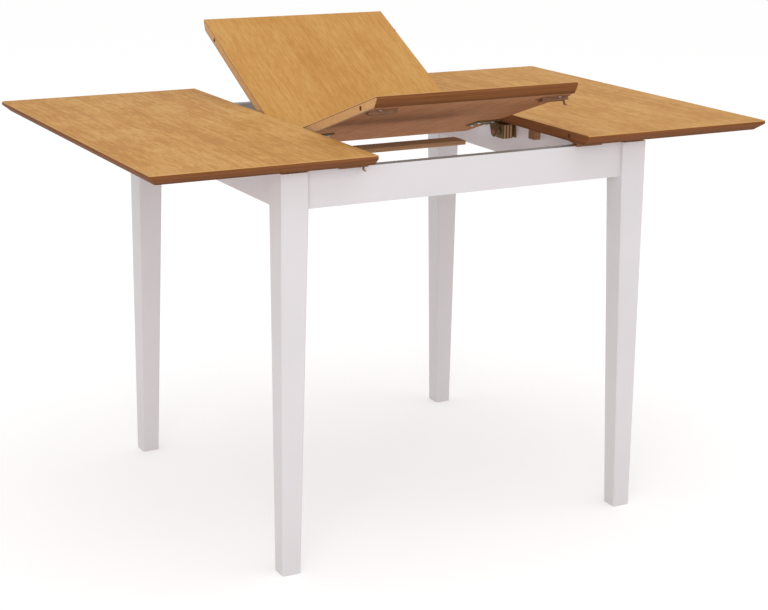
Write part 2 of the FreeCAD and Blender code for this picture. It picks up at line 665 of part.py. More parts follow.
def dowel_seat(x, y, way):
    """Glued hole that a dowel is buried in."""
    start = Vector(x - way * DOWEL_BURIED, y, DOWEL_Z)
    return peg(DOWEL_RADIUS + RUNNING_FIT, start, ALONG * way, DOWEL_BURIED, PEG_SIDES)


def dowel_hole(x, y, way):
    """Open hole in an edge, where the dowel of the next panel comes in along way."""
    radius = DOWEL_RADIUS + DOWEL_HOLE_PLAY
    return peg(radius, Vector(x, y, DOWEL_Z), ALONG * way, DOWEL_HOLE_DEPTH, PEG_SIDES)


def latch_track(edge, way):
    """Steel C track under a panel, running in from its edge against way, for the seam bolt."""
    inner = BOLT_WIDTH / 2 + BOLT_PLAY
    outer = inner + TRACK_SHEET
    bottom = BOLT_TOP - BOLT_THICKNESS - BOLT_PLAY - TRACK_SHEET
    x0 = edge - way * TRACK_INSET
    x1 = x0 - way * TRACK_LENGTH
    shape = block(x0, x1, LATCH_Y - outer - TRACK_FLANGE, LATCH_Y + outer + TRACK_FLANGE,
                  UNDERSIDE - TRACK_SHEET, UNDERSIDE)
    for side in SIDES:
        wall = block(x0, x1, LATCH_Y + side * inner, LATCH_Y + side * outer, bottom, UNDERSIDE)
        lip = block(x0, x1, LATCH_Y + side * outer, LATCH_Y + side * (inner - TRACK_LIP),
                    bottom, bottom + TRACK_SHEET)
        shape = shape.fuse(wall).fuse(lip)
    return cut(shape.removeSplitter(), screw_holes(SMALL_SCREW, track_seats(edge, way), UP))


def track_seats(edge, way):
    """A screw near each end of a latch track, one in each flange, clear of the dowels above it."""
    across = BOLT_WIDTH / 2 + BOLT_PLAY + TRACK_SHEET + TRACK_FLANGE / 2
    front = edge - way * (DOWEL_BURIED + 2 * SMALL_HEAD_RADIUS)
    back = edge - way * (TRACK_INSET + TRACK_LENGTH - TRACK_FLANGE)
    z = UNDERSIDE - TRACK_SHEET
    return [Vector(front, LATCH_Y - across, z), Vector(back, LATCH_Y + across, z)]


def latch_bolt(edge, way):
    """Flat sliding bolt with a curled finger tab that hangs through the slot of its track."""
    nose = edge - way * BOLT_SETBACK
    low = BOLT_TOP - BOLT_THICKNESS
    half = BOLT_WIDTH / 2
    bar = block(nose, nose - way * BOLT_LENGTH, LATCH_Y - half, LATCH_Y + half, low, BOLT_TOP)
    y0 = LATCH_Y - TAB_WIDTH / 2
    y1 = LATCH_Y + TAB_WIDTH / 2
    tip = UNDERSIDE - TAB_DROP
    thick = BOLT_THICKNESS
    tab_x = nose - way * (thick + TAB_CURL)
    tab = block(tab_x, tab_x + way * thick, y0, y1, tip + TAB_CURL, low)
    curl = [
        Vector(tab_x, y0, tip + TAB_CURL),
        Vector(tab_x + way * thick / 2, y0, tip),
        Vector(tab_x + way * (thick + TAB_CURL), y0, tip),
        Vector(tab_x + way * (thick + TAB_CURL), y0, tip + thick / 2),
        Vector(tab_x + way * thick, y0, tip + TAB_CURL),
    ]
    return bar.fuse(tab).fuse(prism(curl, ACROSS * TAB_WIDTH)).removeSplitter()


# --- the tops and the leaf ------------------------------------------------------------------------
def edge_levels():
    """Heights of a panel's outer edge from the bottom up, and how far in the edge is at each."""
    upright = TOP_HEIGHT - EDGE_UPRIGHT
    return [(UNDERSIDE, EDGE_BEVEL), (upright, 0), (TOP_HEIGHT - TOP_ARRIS, 0), (TOP_HEIGHT, TOP_ARRIS)]


def left_panel():
    """Left half of the top, bevelled under its three outer edges and square along the seam."""
    sections = []
    for z, inset in edge_levels():
        cuts = [CORNER_CUT, 0, 0, CORNER_CUT]
        sections.append(outline(inset - OUTER_END, -SEAM, inset - HALF_WIDTH, HALF_WIDTH - inset, z, cuts))
    panel = stacked(sections)
    holes = screw_holes(RUNNER_SCREW, runner_seats(-1) + runner_seats(1), UP)
    holes += screw_holes(STOP_SCREW, stop_seats(-1) + stop_seats(1), UP)
    return cut(panel, holes)


def leaf_panel(side_y):
    """One half of the leaf, bevelled under its long outer edge, with the fold hinges let in."""
    x = LEAF_LENGTH / 2
    sections = []
    for z, inset in edge_levels():
        ys = sorted((side_y * FOLD_GAP, side_y * (HALF_WIDTH - inset)))
        sections.append(outline(-x, x, *ys, z, [0] * 4))
    panel = stacked(sections)
    holes = [dowel_hole(-x, side_y * y, 1) for y in DOWEL_YS]
    holes += [dowel_seat(x, side_y * y, 1) for y in DOWEL_YS]
    for centre in hinge_centres():
        holes += [hinge_space(centre, side_y), link_slot(centre)]
        holes += screw_holes(SMALL_SCREW, hinge_screw_seats(centre, side_y), ACROSS * side_y)
    return cut(panel, holes)


def near_pose(shape):
    """Turn a piece of the near half about the pivots, from level to where it stands."""
    posed = shape.copy()
    posed.rotate(Vector(0, PIVOT_Y, PIVOT_Z), ALONG, -NEAR_TILT)
    return posed


def folded_pose(shape, share):
    """Turn a piece about the fold by a share of the fold angle, then with the near half."""
    posed = shape.copy()
    posed.rotate(Vector(0, 0, FOLD_Z), ALONG, share * (NEAR_TILT + FAR_TILT))
    return near_pose(posed)


# --- sub-assemblies: node name to shape -----------------------------------------------------------
def frame_parts():
    corners = [(side_x, side_y) for side_x in SIDES for side_y in SIDES]
    corner_fixings = []
    for corner in corners:
        corner_fixings += [screw(BLOCK_SCREW, seat, into) for seat, into in corner_screw_seats(*corner)]
    clips = []
    clip_fixings = []
    for side_x in SIDES:
        for face, facing in ((RAIL_BACK, 1), (APRON_BACK_X, -1)):
            clips += runner_clips(side_x, face, facing)
            clip_fixings += screws(SMALL_SCREW, clip_seats(side_x, face, facing), ALONG * (-side_x * facing))
    return {
        "leg_near_left": leg(-1, -1),
        "leg_near_right": leg(1, -1),
        "leg_far_left": leg(-1, 1),
        "leg_far_right": leg(1, 1),
        "near_apron": long_apron(-1),
        "far_apron": long_apron(1),
        "left_end_apron": end_apron(-1),
        "right_end_apron": end_apron(1),
        "left_cross_rail": cross_rail(-1),
        "right_cross_rail": cross_rail(1),
        "corner_blocks": group([corner_block(*corner) for corner in corners]),
        "hanger_bolts": group([hanger_bolt(*corner) for corner in corners]),
        "hanger_washers": group([hanger_washer(*corner) for corner in corners]),
        "hanger_nuts": group([hanger_nut(*corner) for corner in corners]),
        "corner_block_screws": group(corner_fixings),
        "runner_clips": group(clips),
        "clip_screws": group(clip_fixings),
        "left_pivot_block": pivot_block(-1),
        "right_pivot_block": pivot_block(1),
        "pivot_bushes": group([pivot_bush(side_x) for side_x in SIDES]),
        "pivot_block_screws": group(sum((screws(PIVOT_SCREW, pivot_screw_seats(side_x), ALONG * side_x)
                                         for side_x in SIDES), [])),
    }


def top_parts():
    panel = left_panel()
    runner_fixings = group(screws(RUNNER_SCREW, runner_seats(-1) + runner_seats(1), UP))
    stop_fixings = group(screws(STOP_SCREW, stop_seats(-1) + stop_seats(1), UP))
    dowel_places = [side * y for side in SIDES for y in DOWEL_YS]
    left_holes = [dowel_seat(-SEAM, y, 1) for y in dowel_places]
    left_holes += screw_holes(SMALL_SCREW, track_seats(-SEAM, 1), UP)
    right_holes = [dowel_hole(SEAM, y, 1) for y in dowel_places]
    right_holes += screw_holes(SMALL_SCREW, track_seats(SEAM, -1), UP)
    return {
        "left_top": cut(panel, left_holes),
        "left_long_runner": long_runner(),
        "left_short_runner": short_runner(),
        "left_runner_screws": runner_fixings,
        "left_stop_blocks": group(stop_blocks()),
        "left_stop_screws": stop_fixings,
        "left_dowels": group([dowel(-SEAM, y, 1) for y in dowel_places]),
        "left_latch_track": latch_track(-SEAM, 1),
        "left_latch_screws": group(screws(SMALL_SCREW, track_seats(-SEAM, 1), UP)),
        "left_latch_bolt": latch_bolt(-SEAM, 1),
        "right_top": cut(half_turn(panel), right_holes),
        "right_long_runner": half_turn(long_runner()),
        "right_short_runner": half_turn(short_runner()),
        "right_runner_screws": half_turn(runner_fixings),
        "right_stop_blocks": half_turn(group(stop_blocks())),
        "right_stop_screws": half_turn(stop_fixings),
        "right_keeper_track": latch_track(SEAM, -1),
        "right_keeper_screws": group(screws(SMALL_SCREW, track_seats(SEAM, -1), UP)),
    }


def leaf_parts():
    edge = LEAF_LENGTH / 2
    tracks = [(-edge, -1), (edge, 1)]
    near_holes = []
    track_fixings = []
    for side_x in SIDES:
        near_holes += screw_holes(BRACKET_SCREW, bracket_seats(side_x), UP)
    for place, way in tracks:
        near_holes += screw_holes(SMALL_SCREW, track_seats(place, way), UP)
        track_fixings += screws(SMALL_SCREW, track_seats(place, way), UP)
    bracket_fixings = bracket_seats(-1) + bracket_seats(1)
    near = {
        "leaf_near_half": cut(leaf_panel(-1), near_holes),
        "leaf_near_dowels": group([dowel(edge, -y, 1) for y in DOWEL_YS]),
        "left_pivot_bracket": pivot_bracket(-1),
        "right_pivot_bracket": pivot_bracket(1),
        "pivot_pins": group([pivot_pin(side_x) for side_x in SIDES]),
        "pivot_bracket_screws": group(screws(BRACKET_SCREW, bracket_fixings, UP)),
        "near_hinge_bodies": group([hinge_body(x, -1) for x in hinge_centres()]),
        "near_hinge_screws": group(hinge_fixings(-1)),
        "leaf_keeper_track": latch_track(-edge, -1),
        "leaf_latch_track": latch_track(edge, 1),
        "leaf_track_screws": group(track_fixings),
        "leaf_latch_bolt": latch_bolt(edge, 1),
    }
    far = {
        "leaf_far_half": leaf_panel(1),
        "leaf_far_dowels": group([dowel(edge, y, 1) for y in DOWEL_YS]),
        "far_hinge_bodies": group([hinge_body(x, 1) for x in hinge_centres()]),
        "far_hinge_screws": group(hinge_fixings(1)),
    }
    parts = {name: near_pose(shape) for name, shape in near.items()}
    parts.update({name: folded_pose(shape, 1) for name, shape in far.items()})
    near_links = group([hinge_link(x, -1) for x in hinge_centres()])
    far_links = group([hinge_link(x, 1) for x in hinge_centres()])
    parts["near_hinge_links"] = folded_pose(near_links, 1 / 3)
    parts["far_hinge_links"] = folded_pose(far_links, 2 / 3)
    return parts


def hinge_fixings(side_y):
    """Screws of all hinge bodies on one half of the leaf."""
    fixings = []
    for x in hinge_centres():
        fixings += screws(SMALL_SCREW, hinge_screw_seats(x, side_y), ACROSS * side_y)
    return fixings


def main():
    os.makedirs("parts", exist_ok=True)
    parts = {}
    for make in (frame_parts, top_parts, leaf_parts):
        parts.update(make())
    for name, shape in parts.items():
        shape.exportStep("parts/" + name + ".step")
    print(len(parts), "nodes")


main()
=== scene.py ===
"""A butterfly leaf table, dressed for the picture.

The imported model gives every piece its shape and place. This script gives the boards, the frame and the
fittings their finishes, and makes the small pieces (screws, bolts, dowels, bushes, pins and washers) in full,
each where its plain solid stands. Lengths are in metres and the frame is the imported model's own: X runs along
the table as it extends, Y across it with the near side at -Y, Z up from the floor.
"""

import json
import logging
import math
from dataclasses import dataclass
from enum import Enum
from typing import Any, Optional, Sequence, Union

import bmesh
import bpy
import numpy as np
from mathutils import Matrix, Vector

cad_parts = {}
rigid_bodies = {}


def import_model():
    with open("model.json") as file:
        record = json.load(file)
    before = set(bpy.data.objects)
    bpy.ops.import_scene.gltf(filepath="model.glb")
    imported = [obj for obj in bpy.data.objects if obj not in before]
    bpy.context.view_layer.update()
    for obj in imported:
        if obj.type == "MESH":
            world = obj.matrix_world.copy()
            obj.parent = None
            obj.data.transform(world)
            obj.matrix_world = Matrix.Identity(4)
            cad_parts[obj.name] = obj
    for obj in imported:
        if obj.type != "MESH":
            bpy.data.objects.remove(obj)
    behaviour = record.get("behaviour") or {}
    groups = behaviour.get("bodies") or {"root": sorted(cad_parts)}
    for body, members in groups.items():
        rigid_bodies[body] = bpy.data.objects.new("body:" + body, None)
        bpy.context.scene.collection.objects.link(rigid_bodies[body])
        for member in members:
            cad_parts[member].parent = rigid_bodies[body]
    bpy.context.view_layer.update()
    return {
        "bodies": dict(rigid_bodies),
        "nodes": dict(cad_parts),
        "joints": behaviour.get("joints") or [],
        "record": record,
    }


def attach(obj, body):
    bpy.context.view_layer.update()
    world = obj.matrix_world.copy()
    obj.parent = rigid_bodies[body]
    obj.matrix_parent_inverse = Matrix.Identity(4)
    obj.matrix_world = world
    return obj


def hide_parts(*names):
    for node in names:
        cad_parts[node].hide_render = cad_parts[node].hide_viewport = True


LOG = logging.getLogger("butterfly_leaf_table")
MM = 0.001
QUARTER_TURN = math.pi / 2
# radius of a full round piece, as a share of that of its plain solid's corners
ROUNDED = 0.99
# facets round a smooth piece
ROUND_SIDES = 40
# stretch that most of a pattern's values fall in
PATTERN_LOW = 0.3
PATTERN_HIGH = 0.7

Triple = tuple[float, float, float]
Socket = bpy.types.NodeSocket
Material = bpy.types.Material
Mesh = bmesh.types.BMesh
Input = Union[float, tuple, Socket]
Colour = Union[str, Socket]


# ---------------------------------------------------------------------------------------------------
# Named choices
# ---------------------------------------------------------------------------------------------------
class Slot(Enum):
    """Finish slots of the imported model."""

    BEECH = "dowel_beech"
    ZINC = "zinc_steel"
    DARK = "dark_steel"
    NYLON = "nylon"


class Side(Enum):
    """The two halves of the top."""

    LEFT = "left"
    RIGHT = "right"


class Facing(Enum):
    """Directions that a face can look in."""

    LEFT = (-1.0, 0.0, 0.0)
    RIGHT = (1.0, 0.0, 0.0)
    NEAR = (0.0, -1.0, 0.0)
    FAR = (0.0, 1.0, 0.0)
    UP = (0.0, 0.0, 1.0)


class Way(Enum):
    """Which way the grain of a piece runs: how much denser its pattern is across the grain than along it."""

    ALONG_X = (0.02, 1.0, 1.0)
    ALONG_Y = (1.0, 0.02, 1.0)
    ALONG_Z = (1.0, 1.0, 0.02)

    def feature(self, width: float) -> Triple:
        """Size of a pattern's feature of this width, drawn out along the grain."""
        return tuple(width / share for share in self.value)

    def direction(self) -> Triple:
        """Direction of the grain."""
        return tuple(float(share < 1.0) for share in self.value)


# ---------------------------------------------------------------------------------------------------
# Colour and node helpers
# ---------------------------------------------------------------------------------------------------
def linear(code: str) -> tuple[float, float, float, float]:
    """Turn an sRGB hex colour into the linear values that shaders work in.

    Args:
        code: colour as "#RRGGBB".

    Returns:
        Linear red, green and blue, and an alpha of 1.
    """
    values = [int(code[i:i + 2], 16) / 255 for i in (1, 3, 5)]
    red, green, blue = (v / 12.92 if v <= 0.04045 else ((v + 0.055) / 1.055) ** 2.4 for v in values)
    return red, green, blue, 1.0


def add(tree: bpy.types.NodeTree, kind: str, inputs: Optional[dict[Union[str, int], Input]] = None,
        **settings: Any) -> bpy.types.Node:
    """Add one node, with its settings and what goes into it.

    Args:
        tree: node tree that gets the node.
        kind: node type, such as "ShaderNodeMath".
        inputs: for each input, by name or number, a constant or the socket that feeds it.
        **settings: properties of the node itself.

    Returns:
        The new node.
    """
    made = tree.nodes.new(kind)
    for name, value in settings.items():
        setattr(made, name, value)
    for key, value in (inputs or {}).items():
        if isinstance(value, Socket):
            tree.links.new(value, made.inputs[key])
        else:
            made.inputs[key].default_value = value
    return made


def cleared(owner: Union[Material, bpy.types.World]) -> bpy.types.NodeTree:
    """Give a material or a world an empty node tree.

    Args:
        owner: what the tree belongs to.

    Returns:
        The tree.
    """
    owner.use_nodes = True
    owner.node_tree.nodes.clear()
    return owner.node_tree


class Shader:
    """A material being built: its tree, its Principled shader, and where and how its surface lies."""

    def __init__(self, name: str) -> None:
        """Start a material with nothing but its Principled shader.

        Args:
            name: name of the real material and how it was made.
        """
        self.material = bpy.data.materials.new(name)
        self.tree = cleared(self.material)
        self.body = add(self.tree, "ShaderNodeBsdfPrincipled")
        add(self.tree, "ShaderNodeOutputMaterial", {"Surface": self.body.outputs["BSDF"]})
        place = add(self.tree, "ShaderNodeTexCoord")
        self.spot = place.outputs["Object"]
        self.normal = place.outputs["Normal"]

    def constant(self, **values: float) -> None:
        """Set sockets of the Principled shader that are the same all over; underscores stand for spaces."""
        for name, value in values.items():
            self.body.inputs[name.replace("_", " ")].default_value = value

    def feed(self, **sockets: Socket) -> None:
        """Link sockets into the Principled shader; underscores stand for spaces."""
        for name, socket in sockets.items():
            self.tree.links.new(socket, self.body.inputs[name.replace("_", " ")])

    def pattern(self, size: Sequence[float], detail: float, rough: float, shift: float = 0.0,
                spot: Optional[Socket] = None) -> Socket:
        """Make an uneven pattern whose features have a real size.

        Args:
            size: width of one feature along X, Y and Z, in millimetres.
            detail: octaves of finer pattern.
            rough: weight of the finer ones.
            shift: moves the pattern, so that no two boards share it.
            spot: place that the pattern is read at, or None for the object's own.

        Returns:
            The pattern's value, from 0 to 1.
        """
        scaled = add(self.tree, "ShaderNodeMapping", {
            "Vector": self.spot if spot is None else spot, "Location": (shift, shift * 1.7, shift * 0.6),
            "Scale": tuple(1 / (width * MM) for width in size)})
        return add(self.tree, "ShaderNodeTexNoise", {
            "Vector": scaled.outputs[0], "Scale": 1.0, "Detail": detail, "Roughness": rough}).outputs["Fac"]

    def lay(self, under: Colour, over: Colour, value: Socket, low: float = PATTERN_LOW,
            high: float = PATTERN_HIGH, start: float = 0.0, end: float = 1.0) -> Socket:
        """Lay one colour over another by a share that follows a value, with soft ends.

        Args:
            under: colour below, as sRGB hex or a socket.
            over: colour on top, as sRGB hex or a socket.
            value: socket that the share follows.
            low: value at which the share is `start`.
            high: value at which it is `end`.
            start: first share.
            end: last share.

        Returns:
            The colour socket.
        """
        share = add(self.tree, "ShaderNodeMapRange", {
            "Value": value, "From Min": low, "From Max": high, "To Min": start, "To Max": end},
            interpolation_type="SMOOTHSTEP")
        below, above = (code if isinstance(code, Socket) else linear(code) for code in (under, over))
        return add(self.tree, "ShaderNodeMix", {0: share.outputs[0], 6: below, 7: above},
                   data_type="RGBA").outputs[2]

    def lay_on_faces(self, under: Colour, over: Colour, toward: Triple, normal: Optional[Socket] = None,
                     both_ways: bool = False) -> Socket:
        """Lay a colour over the faces that look in one direction.

        Args:
            under: colour of the other faces.
            over: colour of these faces.
            toward: direction that they look in.
            normal: surface's direction, or None for the object's own.
            both_ways: True where the opposite faces count as well.

        Returns:
            The colour socket.
        """
        looks = self.normal if normal is None else normal
        cosine = add(self.tree, "ShaderNodeVectorMath", {0: looks, 1: toward},
                     operation="DOT_PRODUCT").outputs["Value"]
        if both_ways:
            cosine = add(self.tree, "ShaderNodeMath", {0: cosine}, operation="ABSOLUTE").outputs[0]
        # faces within 18 degrees of the direction count in full, those beyond 32 degrees not at all
        return self.lay(under, over, cosine, 0.85, 0.95)

    def coat(self, colour: Socket, sheen: tuple[Socket, float, float], relief: tuple[Socket, float, float],
             dullest: Optional[Socket] = None) -> Material:
        """Close the material with its colour, its sheen and its fine relief.

        Args:
            colour: socket with the colour.
            sheen: pattern that the roughness follows, and the roughness at its low and at its high end.
            relief: pattern of heights, its depth in millimetres and its strength.
            dullest: roughness that it never goes under, or None.

        Returns:
            The finished material.
        """
        follows, smooth, dull = sheen
        # the sheen changes over a wider stretch of its pattern than the colours do
        rough = add(self.tree, "ShaderNodeMapRange", {
            "Value": follows, "From Min": 0.2, "From Max": 0.8, "To Min": smooth, "To Max": dull},
            interpolation_type="SMOOTHSTEP").outputs[0]
        if dullest is not None:
            rough = add(self.tree, "ShaderNodeMath", {0: rough, 1: dullest}, operation="MAXIMUM").outputs[0]
        height, depth, strength = relief
        bump = add(self.tree, "ShaderNodeBump", {
            "Height": height, "Distance": depth * MM, "Strength": strength})
        self.feed(Base_Color=colour, Roughness=rough, Normal=bump.outputs[0])
        return self.material


# ---------------------------------------------------------------------------------------------------
# Finishes
# ---------------------------------------------------------------------------------------------------
@dataclass(frozen=True)
class OakVeneer:
    """Oak veneer on fibreboard, stained honey and sprayed with satin lacquer; edges and back stained darker.

    The face shows fine straight grain along Y with soft bands of tone, short pores and a low sheen; the chamfer
    at its top arris is painted paler, a painted highlight. The profiled edge takes the stain more deeply, so it
    is a reddish brown that darkens towards its lower arris, and the underside is a dull brown. Sawn edges and
    the side walls of holes that were left bare show the pale pressed core; the inside of a drilled hole that
    looks up or down is painted dark brown, as painted shade.

    Attributes:
        name: name of the material.
        lean: turn about X that makes the board level, in degrees.
        shift: moves the grain, so that no two boards share it.
        bare: faces whose sawn edge was left bare.
        face_level: height of the board's face once it is level.
        spread: how far the tone swings about its middle; a small one gives strong contrast.
        line_strength: how strongly the fibre lines darken the face.
        pore_strength: how strongly its pores do.
        back_rough: roughness of the dull back.
        layers: of the bare edge, from and to in millimetres under the face, with their colours.
    """

    name: str
    lean: float = 0.0
    shift: float = 0.0
    bare: tuple[Facing, ...] = ()
    face_level: float = 0.0
    spread: float = 0.085
    line_strength: float = 0.18
    pore_strength: float = 0.28
    back_rough: float = 0.85
    amber: str = "#B98344"
    honey: str = "#C79350"
    straw: str = "#D0A263"
    pore: str = "#9E6A34"
    # paler colour on the chamfer at the top arris: a painted highlight
    arris: str = "#C99A60"
    edge_dark: str = "#734625"
    edge_light: str = "#885430"
    # colour that the edge darkens to towards its lower arris
    darker_lower_edge: str = "#4A2E17"
    back_dark: str = "#A26C48"
    back_light: str = "#B07C56"
    core_dark: str = "#C09260"
    core_light: str = "#DFB583"
    # dark brown painted in the inside of drilled holes: painted shade
    hole: str = "#6E4E33"
    layers: tuple[tuple[float, float, str], ...] = ((0.0, 1.1, "#DDB384"), (1.1, 2.4, "#7D5531"),
                                                    (16.4, 18.5, "#978873"))

    def build(self) -> Material:
        """Make the material.

        Returns:
            The finished material.
        """
        s = Shader(self.name)
        tree = s.tree
        spot, normal = (add(tree, "ShaderNodeVectorRotate", {"Vector": way, "Angle": math.radians(self.lean)},
                            rotation_type="X_AXIS").outputs[0] for way in (s.spot, s.normal))
        up = add(tree, "ShaderNodeSeparateXYZ", {0: normal}).outputs["Z"]
        height = add(tree, "ShaderNodeSeparateXYZ", {0: spot}).outputs["Z"]
        sunk = add(tree, "ShaderNodeMath", {0: self.face_level, 1: height}, operation="SUBTRACT").outputs[0]
        depth = add(tree, "ShaderNodeMath", {0: sunk, 1: 1 / MM}, operation="MULTIPLY").outputs[0]

        # leaves of veneer 90 mm wide, figure about 9 mm across, fibre lines 2.4 mm apart, ray flecks 5 mm by
        # 28 mm, and pores 1.2 mm by 14 mm (real ones are 0.3 mm, and would not show)
        leaves = s.pattern((90, 900, 900), 2.0, 0.5, self.shift, spot)
        clouds = s.pattern((70, 110, 110), 4.0, 0.6, self.shift + 4, spot)
        figure = s.pattern((9, 240, 240), 3.0, 0.55, self.shift + 1, spot)
        fibres = s.pattern((2.4, 90, 90), 4.0, 0.65, self.shift + 2, spot)
        flecks = s.pattern((5, 28, 28), 3.0, 0.6, self.shift + 9, spot)
        pores = s.pattern((1.2, 14, 14), 2.0, 0.5, self.shift + 7, spot)
        blend: Input = 0.0
        for value, weight in ((leaves, 0.12), (clouds, 0.20), (figure, 0.18), (fibres, 0.24), (flecks, 0.26)):
            blend = add(tree, "ShaderNodeMath", {0: value, 1: weight, 2: blend},
                        operation="MULTIPLY_ADD").outputs[0]
        tone, pitted, looks_down, looks_up, under_face, over_back = (
            add(tree, "ShaderNodeMapRange", {"Value": value, "From Min": low, "From Max": high},
                interpolation_type="SMOOTHSTEP").outputs[0]
            for value, low, high in (
                (blend, 0.5 - self.spread, 0.5 + self.spread), (pores, 0.56, 0.68), (up, -0.93, -0.97),
                (up, 0.2, 0.3), (depth, 2.5, 3.5), (depth, 17.0, 16.0)))

        # the face runs from amber through honey to straw as the tone rises
        face: Input = linear(self.amber)
        for low, high, code in ((0.0, 0.5, self.honey), (0.5, 1.0, self.straw)):
            share = add(tree, "ShaderNodeMapRange", {"Value": tone, "From Min": low, "From Max": high})
            face = add(tree, "ShaderNodeMix", {0: share.outputs[0], 6: face, 7: linear(code)},
                       data_type="RGBA").outputs[2]
        face = s.lay(face, self.pore, fibres, 0.54, 0.70, end=self.line_strength)
        face = s.lay(face, self.pore, pores, 0.56, 0.68, end=self.pore_strength)
        # the edge streaks run level round the board, 2 mm deep each
        streaks = s.pattern((160, 160, 2.2), 4.0, 0.6, self.shift, spot)
        edge = s.lay(self.edge_dark, self.edge_light, streaks)
        # the edge darkens towards its lower arris, from 12 to 18 mm under the face
        edge = s.lay(edge, self.darker_lower_edge, depth, 12.0, 18.0, end=0.5)
        back = s.lay(self.back_dark, self.back_light, tone, 0.1, 0.9)

        # the chamfer between edge and face takes the paler arris colour, a painted highlight
        colour = s.lay(edge, self.arris, up, 0.25, 0.30)
        colour = s.lay(colour, face, up, 0.90, 0.97)
        colour = s.lay(colour, back, up, -0.93, -0.97)
        # nothing but the inside of a drilled hole looks up below the face, or down above the back
        rising, falling = (
            add(tree, "ShaderNodeMath", {0: lies, 1: looks}, operation="MULTIPLY").outputs[0]
            for lies, looks in ((under_face, looks_up), (over_back, looks_down)))
        bored = add(tree, "ShaderNodeMath", {0: rising, 1: falling}, operation="MAXIMUM").outputs[0]
        # the inside of a drilled hole is painted dark brown: painted shade in the hole
        colour = add(tree, "ShaderNodeMix", {0: bored, 6: colour, 7: linear(self.hole)},
                     data_type="RGBA").outputs[2]
        if self.bare:
            core = self.core(s, spot, depth)
            for facing in self.bare:
                colour = s.lay_on_faces(colour, core, facing.value, normal)
        s.constant(IOR=1.45, Specular_IOR_Level=0.12)
        dull_back = add(tree, "ShaderNodeMath", {0: looks_down, 1: self.back_rough}, operation="MULTIPLY")
        # the pores are sunk into the fibres
        relief = add(tree, "ShaderNodeMath", {0: pitted, 1: -0.6, 2: fibres}, operation="MULTIPLY_ADD")
        return s.coat(colour, (fibres, 0.60, 0.70), (relief.outputs[0], 0.05, 0.4), dull_back.outputs[0])

    def core(self, s: Shader, spot: Socket, depth: Socket) -> Socket:
        """Colour a bare sawn edge: pressed core between two veneers and their glue lines.

        Args:
            s: shader that the edge belongs to.
            spot: place in the board's own level frame.
            depth: millimetres under the board's face.

        Returns:
            The colour socket.
        """
        # chips of the pressed core are about 3 mm long and lie flat
        chips = s.pattern((3.2, 3.2, 1.2), 3.0, 0.7, 3.0, spot)
        colour = s.lay(self.core_dark, self.core_light, chips)
        # a veneer is 0.6 mm thick, and is drawn at twice that so that it shows
        for start, end, code in self.layers:
            inside = add(s.tree, "ShaderNodeMath", {0: depth, 1: (start + end) / 2, 2: (end - start) / 2},
                         operation="COMPARE")
            share = add(s.tree, "ShaderNodeMath", {0: inside.outputs[0], 1: 0.9}, operation="MULTIPLY")
            colour = add(s.tree, "ShaderNodeMix", {0: share.outputs[0], 6: colour, 7: linear(code)},
                         data_type="RGBA").outputs[2]
        return colour


@dataclass(frozen=True)
class PaintedWood:
    """Rubberwood sprayed with satin white lacquer: a soft, slightly cool white with the grain just felt.

    Upper and inner faces, which nobody sees once the table is closed, are coloured grey.
    """

    name: str
    way: Way
    grey_facings: tuple[Facing, ...] = ()
    base: str = "#E8E2E7"
    shade: str = "#E1DCE1"
    worn: str = "#D5D0D0"
    grey_face_colour: str = "#9A9D9C"

    def build(self) -> Material:
        """Make the material.

        Returns:
            The finished material.
        """
        s = Shader(self.name)
        # grain telegraphing through the film, 4 mm wide, and orange peel of the spray, 1.5 mm
        grain = s.pattern(self.way.feature(4.0), 4.0, 0.6)
        peel = s.pattern((1.5, 1.5, 1.5), 2.0, 0.5)
        clouds = s.pattern((140, 140, 140), 2.0, 0.5)
        colour = s.lay(self.base, self.shade, clouds, 0.35, 0.7)
        # the film is thin where it turns over an edge
        edges = add(s.tree, "ShaderNodeNewGeometry").outputs["Pointiness"]
        colour = s.lay(colour, self.worn, edges, 0.53, 0.60, end=0.6)
        # faces that look in the listed directions are coloured grey
        for facing in self.grey_facings:
            colour = s.lay_on_faces(colour, self.grey_face_colour, facing.value)
        s.constant(IOR=1.47, Specular_IOR_Level=0.4)
        relief = add(s.tree, "ShaderNodeMath", {0: peel, 1: 0.35, 2: grain}, operation="MULTIPLY_ADD")
        return s.coat(colour, (grain, 0.38, 0.50), (relief.outputs[0], 0.05, 0.35))


@dataclass(frozen=True)
class StainedWood:
    """Planed hardwood wiped with brown stain: dull, streaky along the grain, darker in its pores.

    The cut ends drink the stain and turn darker. Upper faces can take a lighter, greyer colour: painted light
    on the tops. Left bare, the same wood is pale.
    """

    name: str
    way: Way
    dark: str = "#966B4A"
    light: str = "#BC8F69"
    shift: float = 0.0
    ends: str = ""
    lit_top: str = ""

    def build(self) -> Material:
        """Make the material.

        Returns:
            The finished material.
        """
        s = Shader(self.name)
        # streaks 9 mm wide and fibres 1.6 mm wide
        streaks = s.pattern(self.way.feature(9.0), 4.0, 0.6, self.shift)
        fibres = s.pattern(self.way.feature(1.6), 3.0, 0.6, self.shift + 1)
        wide = add(s.tree, "ShaderNodeMath", {0: streaks, 1: 0.6}, operation="MULTIPLY").outputs[0]
        tone = add(s.tree, "ShaderNodeMath", {0: fibres, 1: 0.4, 2: wide},
                   operation="MULTIPLY_ADD").outputs[0]
        colour = s.lay(self.dark, self.light, tone)
        # upper faces take a lighter, greyer colour: painted light on the tops
        if self.lit_top:
            thin = s.lay(self.lit_top, self.dark, tone, start=0.3, end=0.0)
            colour = s.lay_on_faces(colour, thin, Facing.UP.value)
        if self.ends:
            cut = s.lay(self.ends, self.dark, fibres, start=0.4, end=0.0)
            colour = s.lay_on_faces(colour, cut, self.way.direction(), both_ways=True)
        s.constant(IOR=1.45, Specular_IOR_Level=0.3)
        return s.coat(colour, (fibres, 0.55, 0.72), (fibres, 0.08, 0.5))


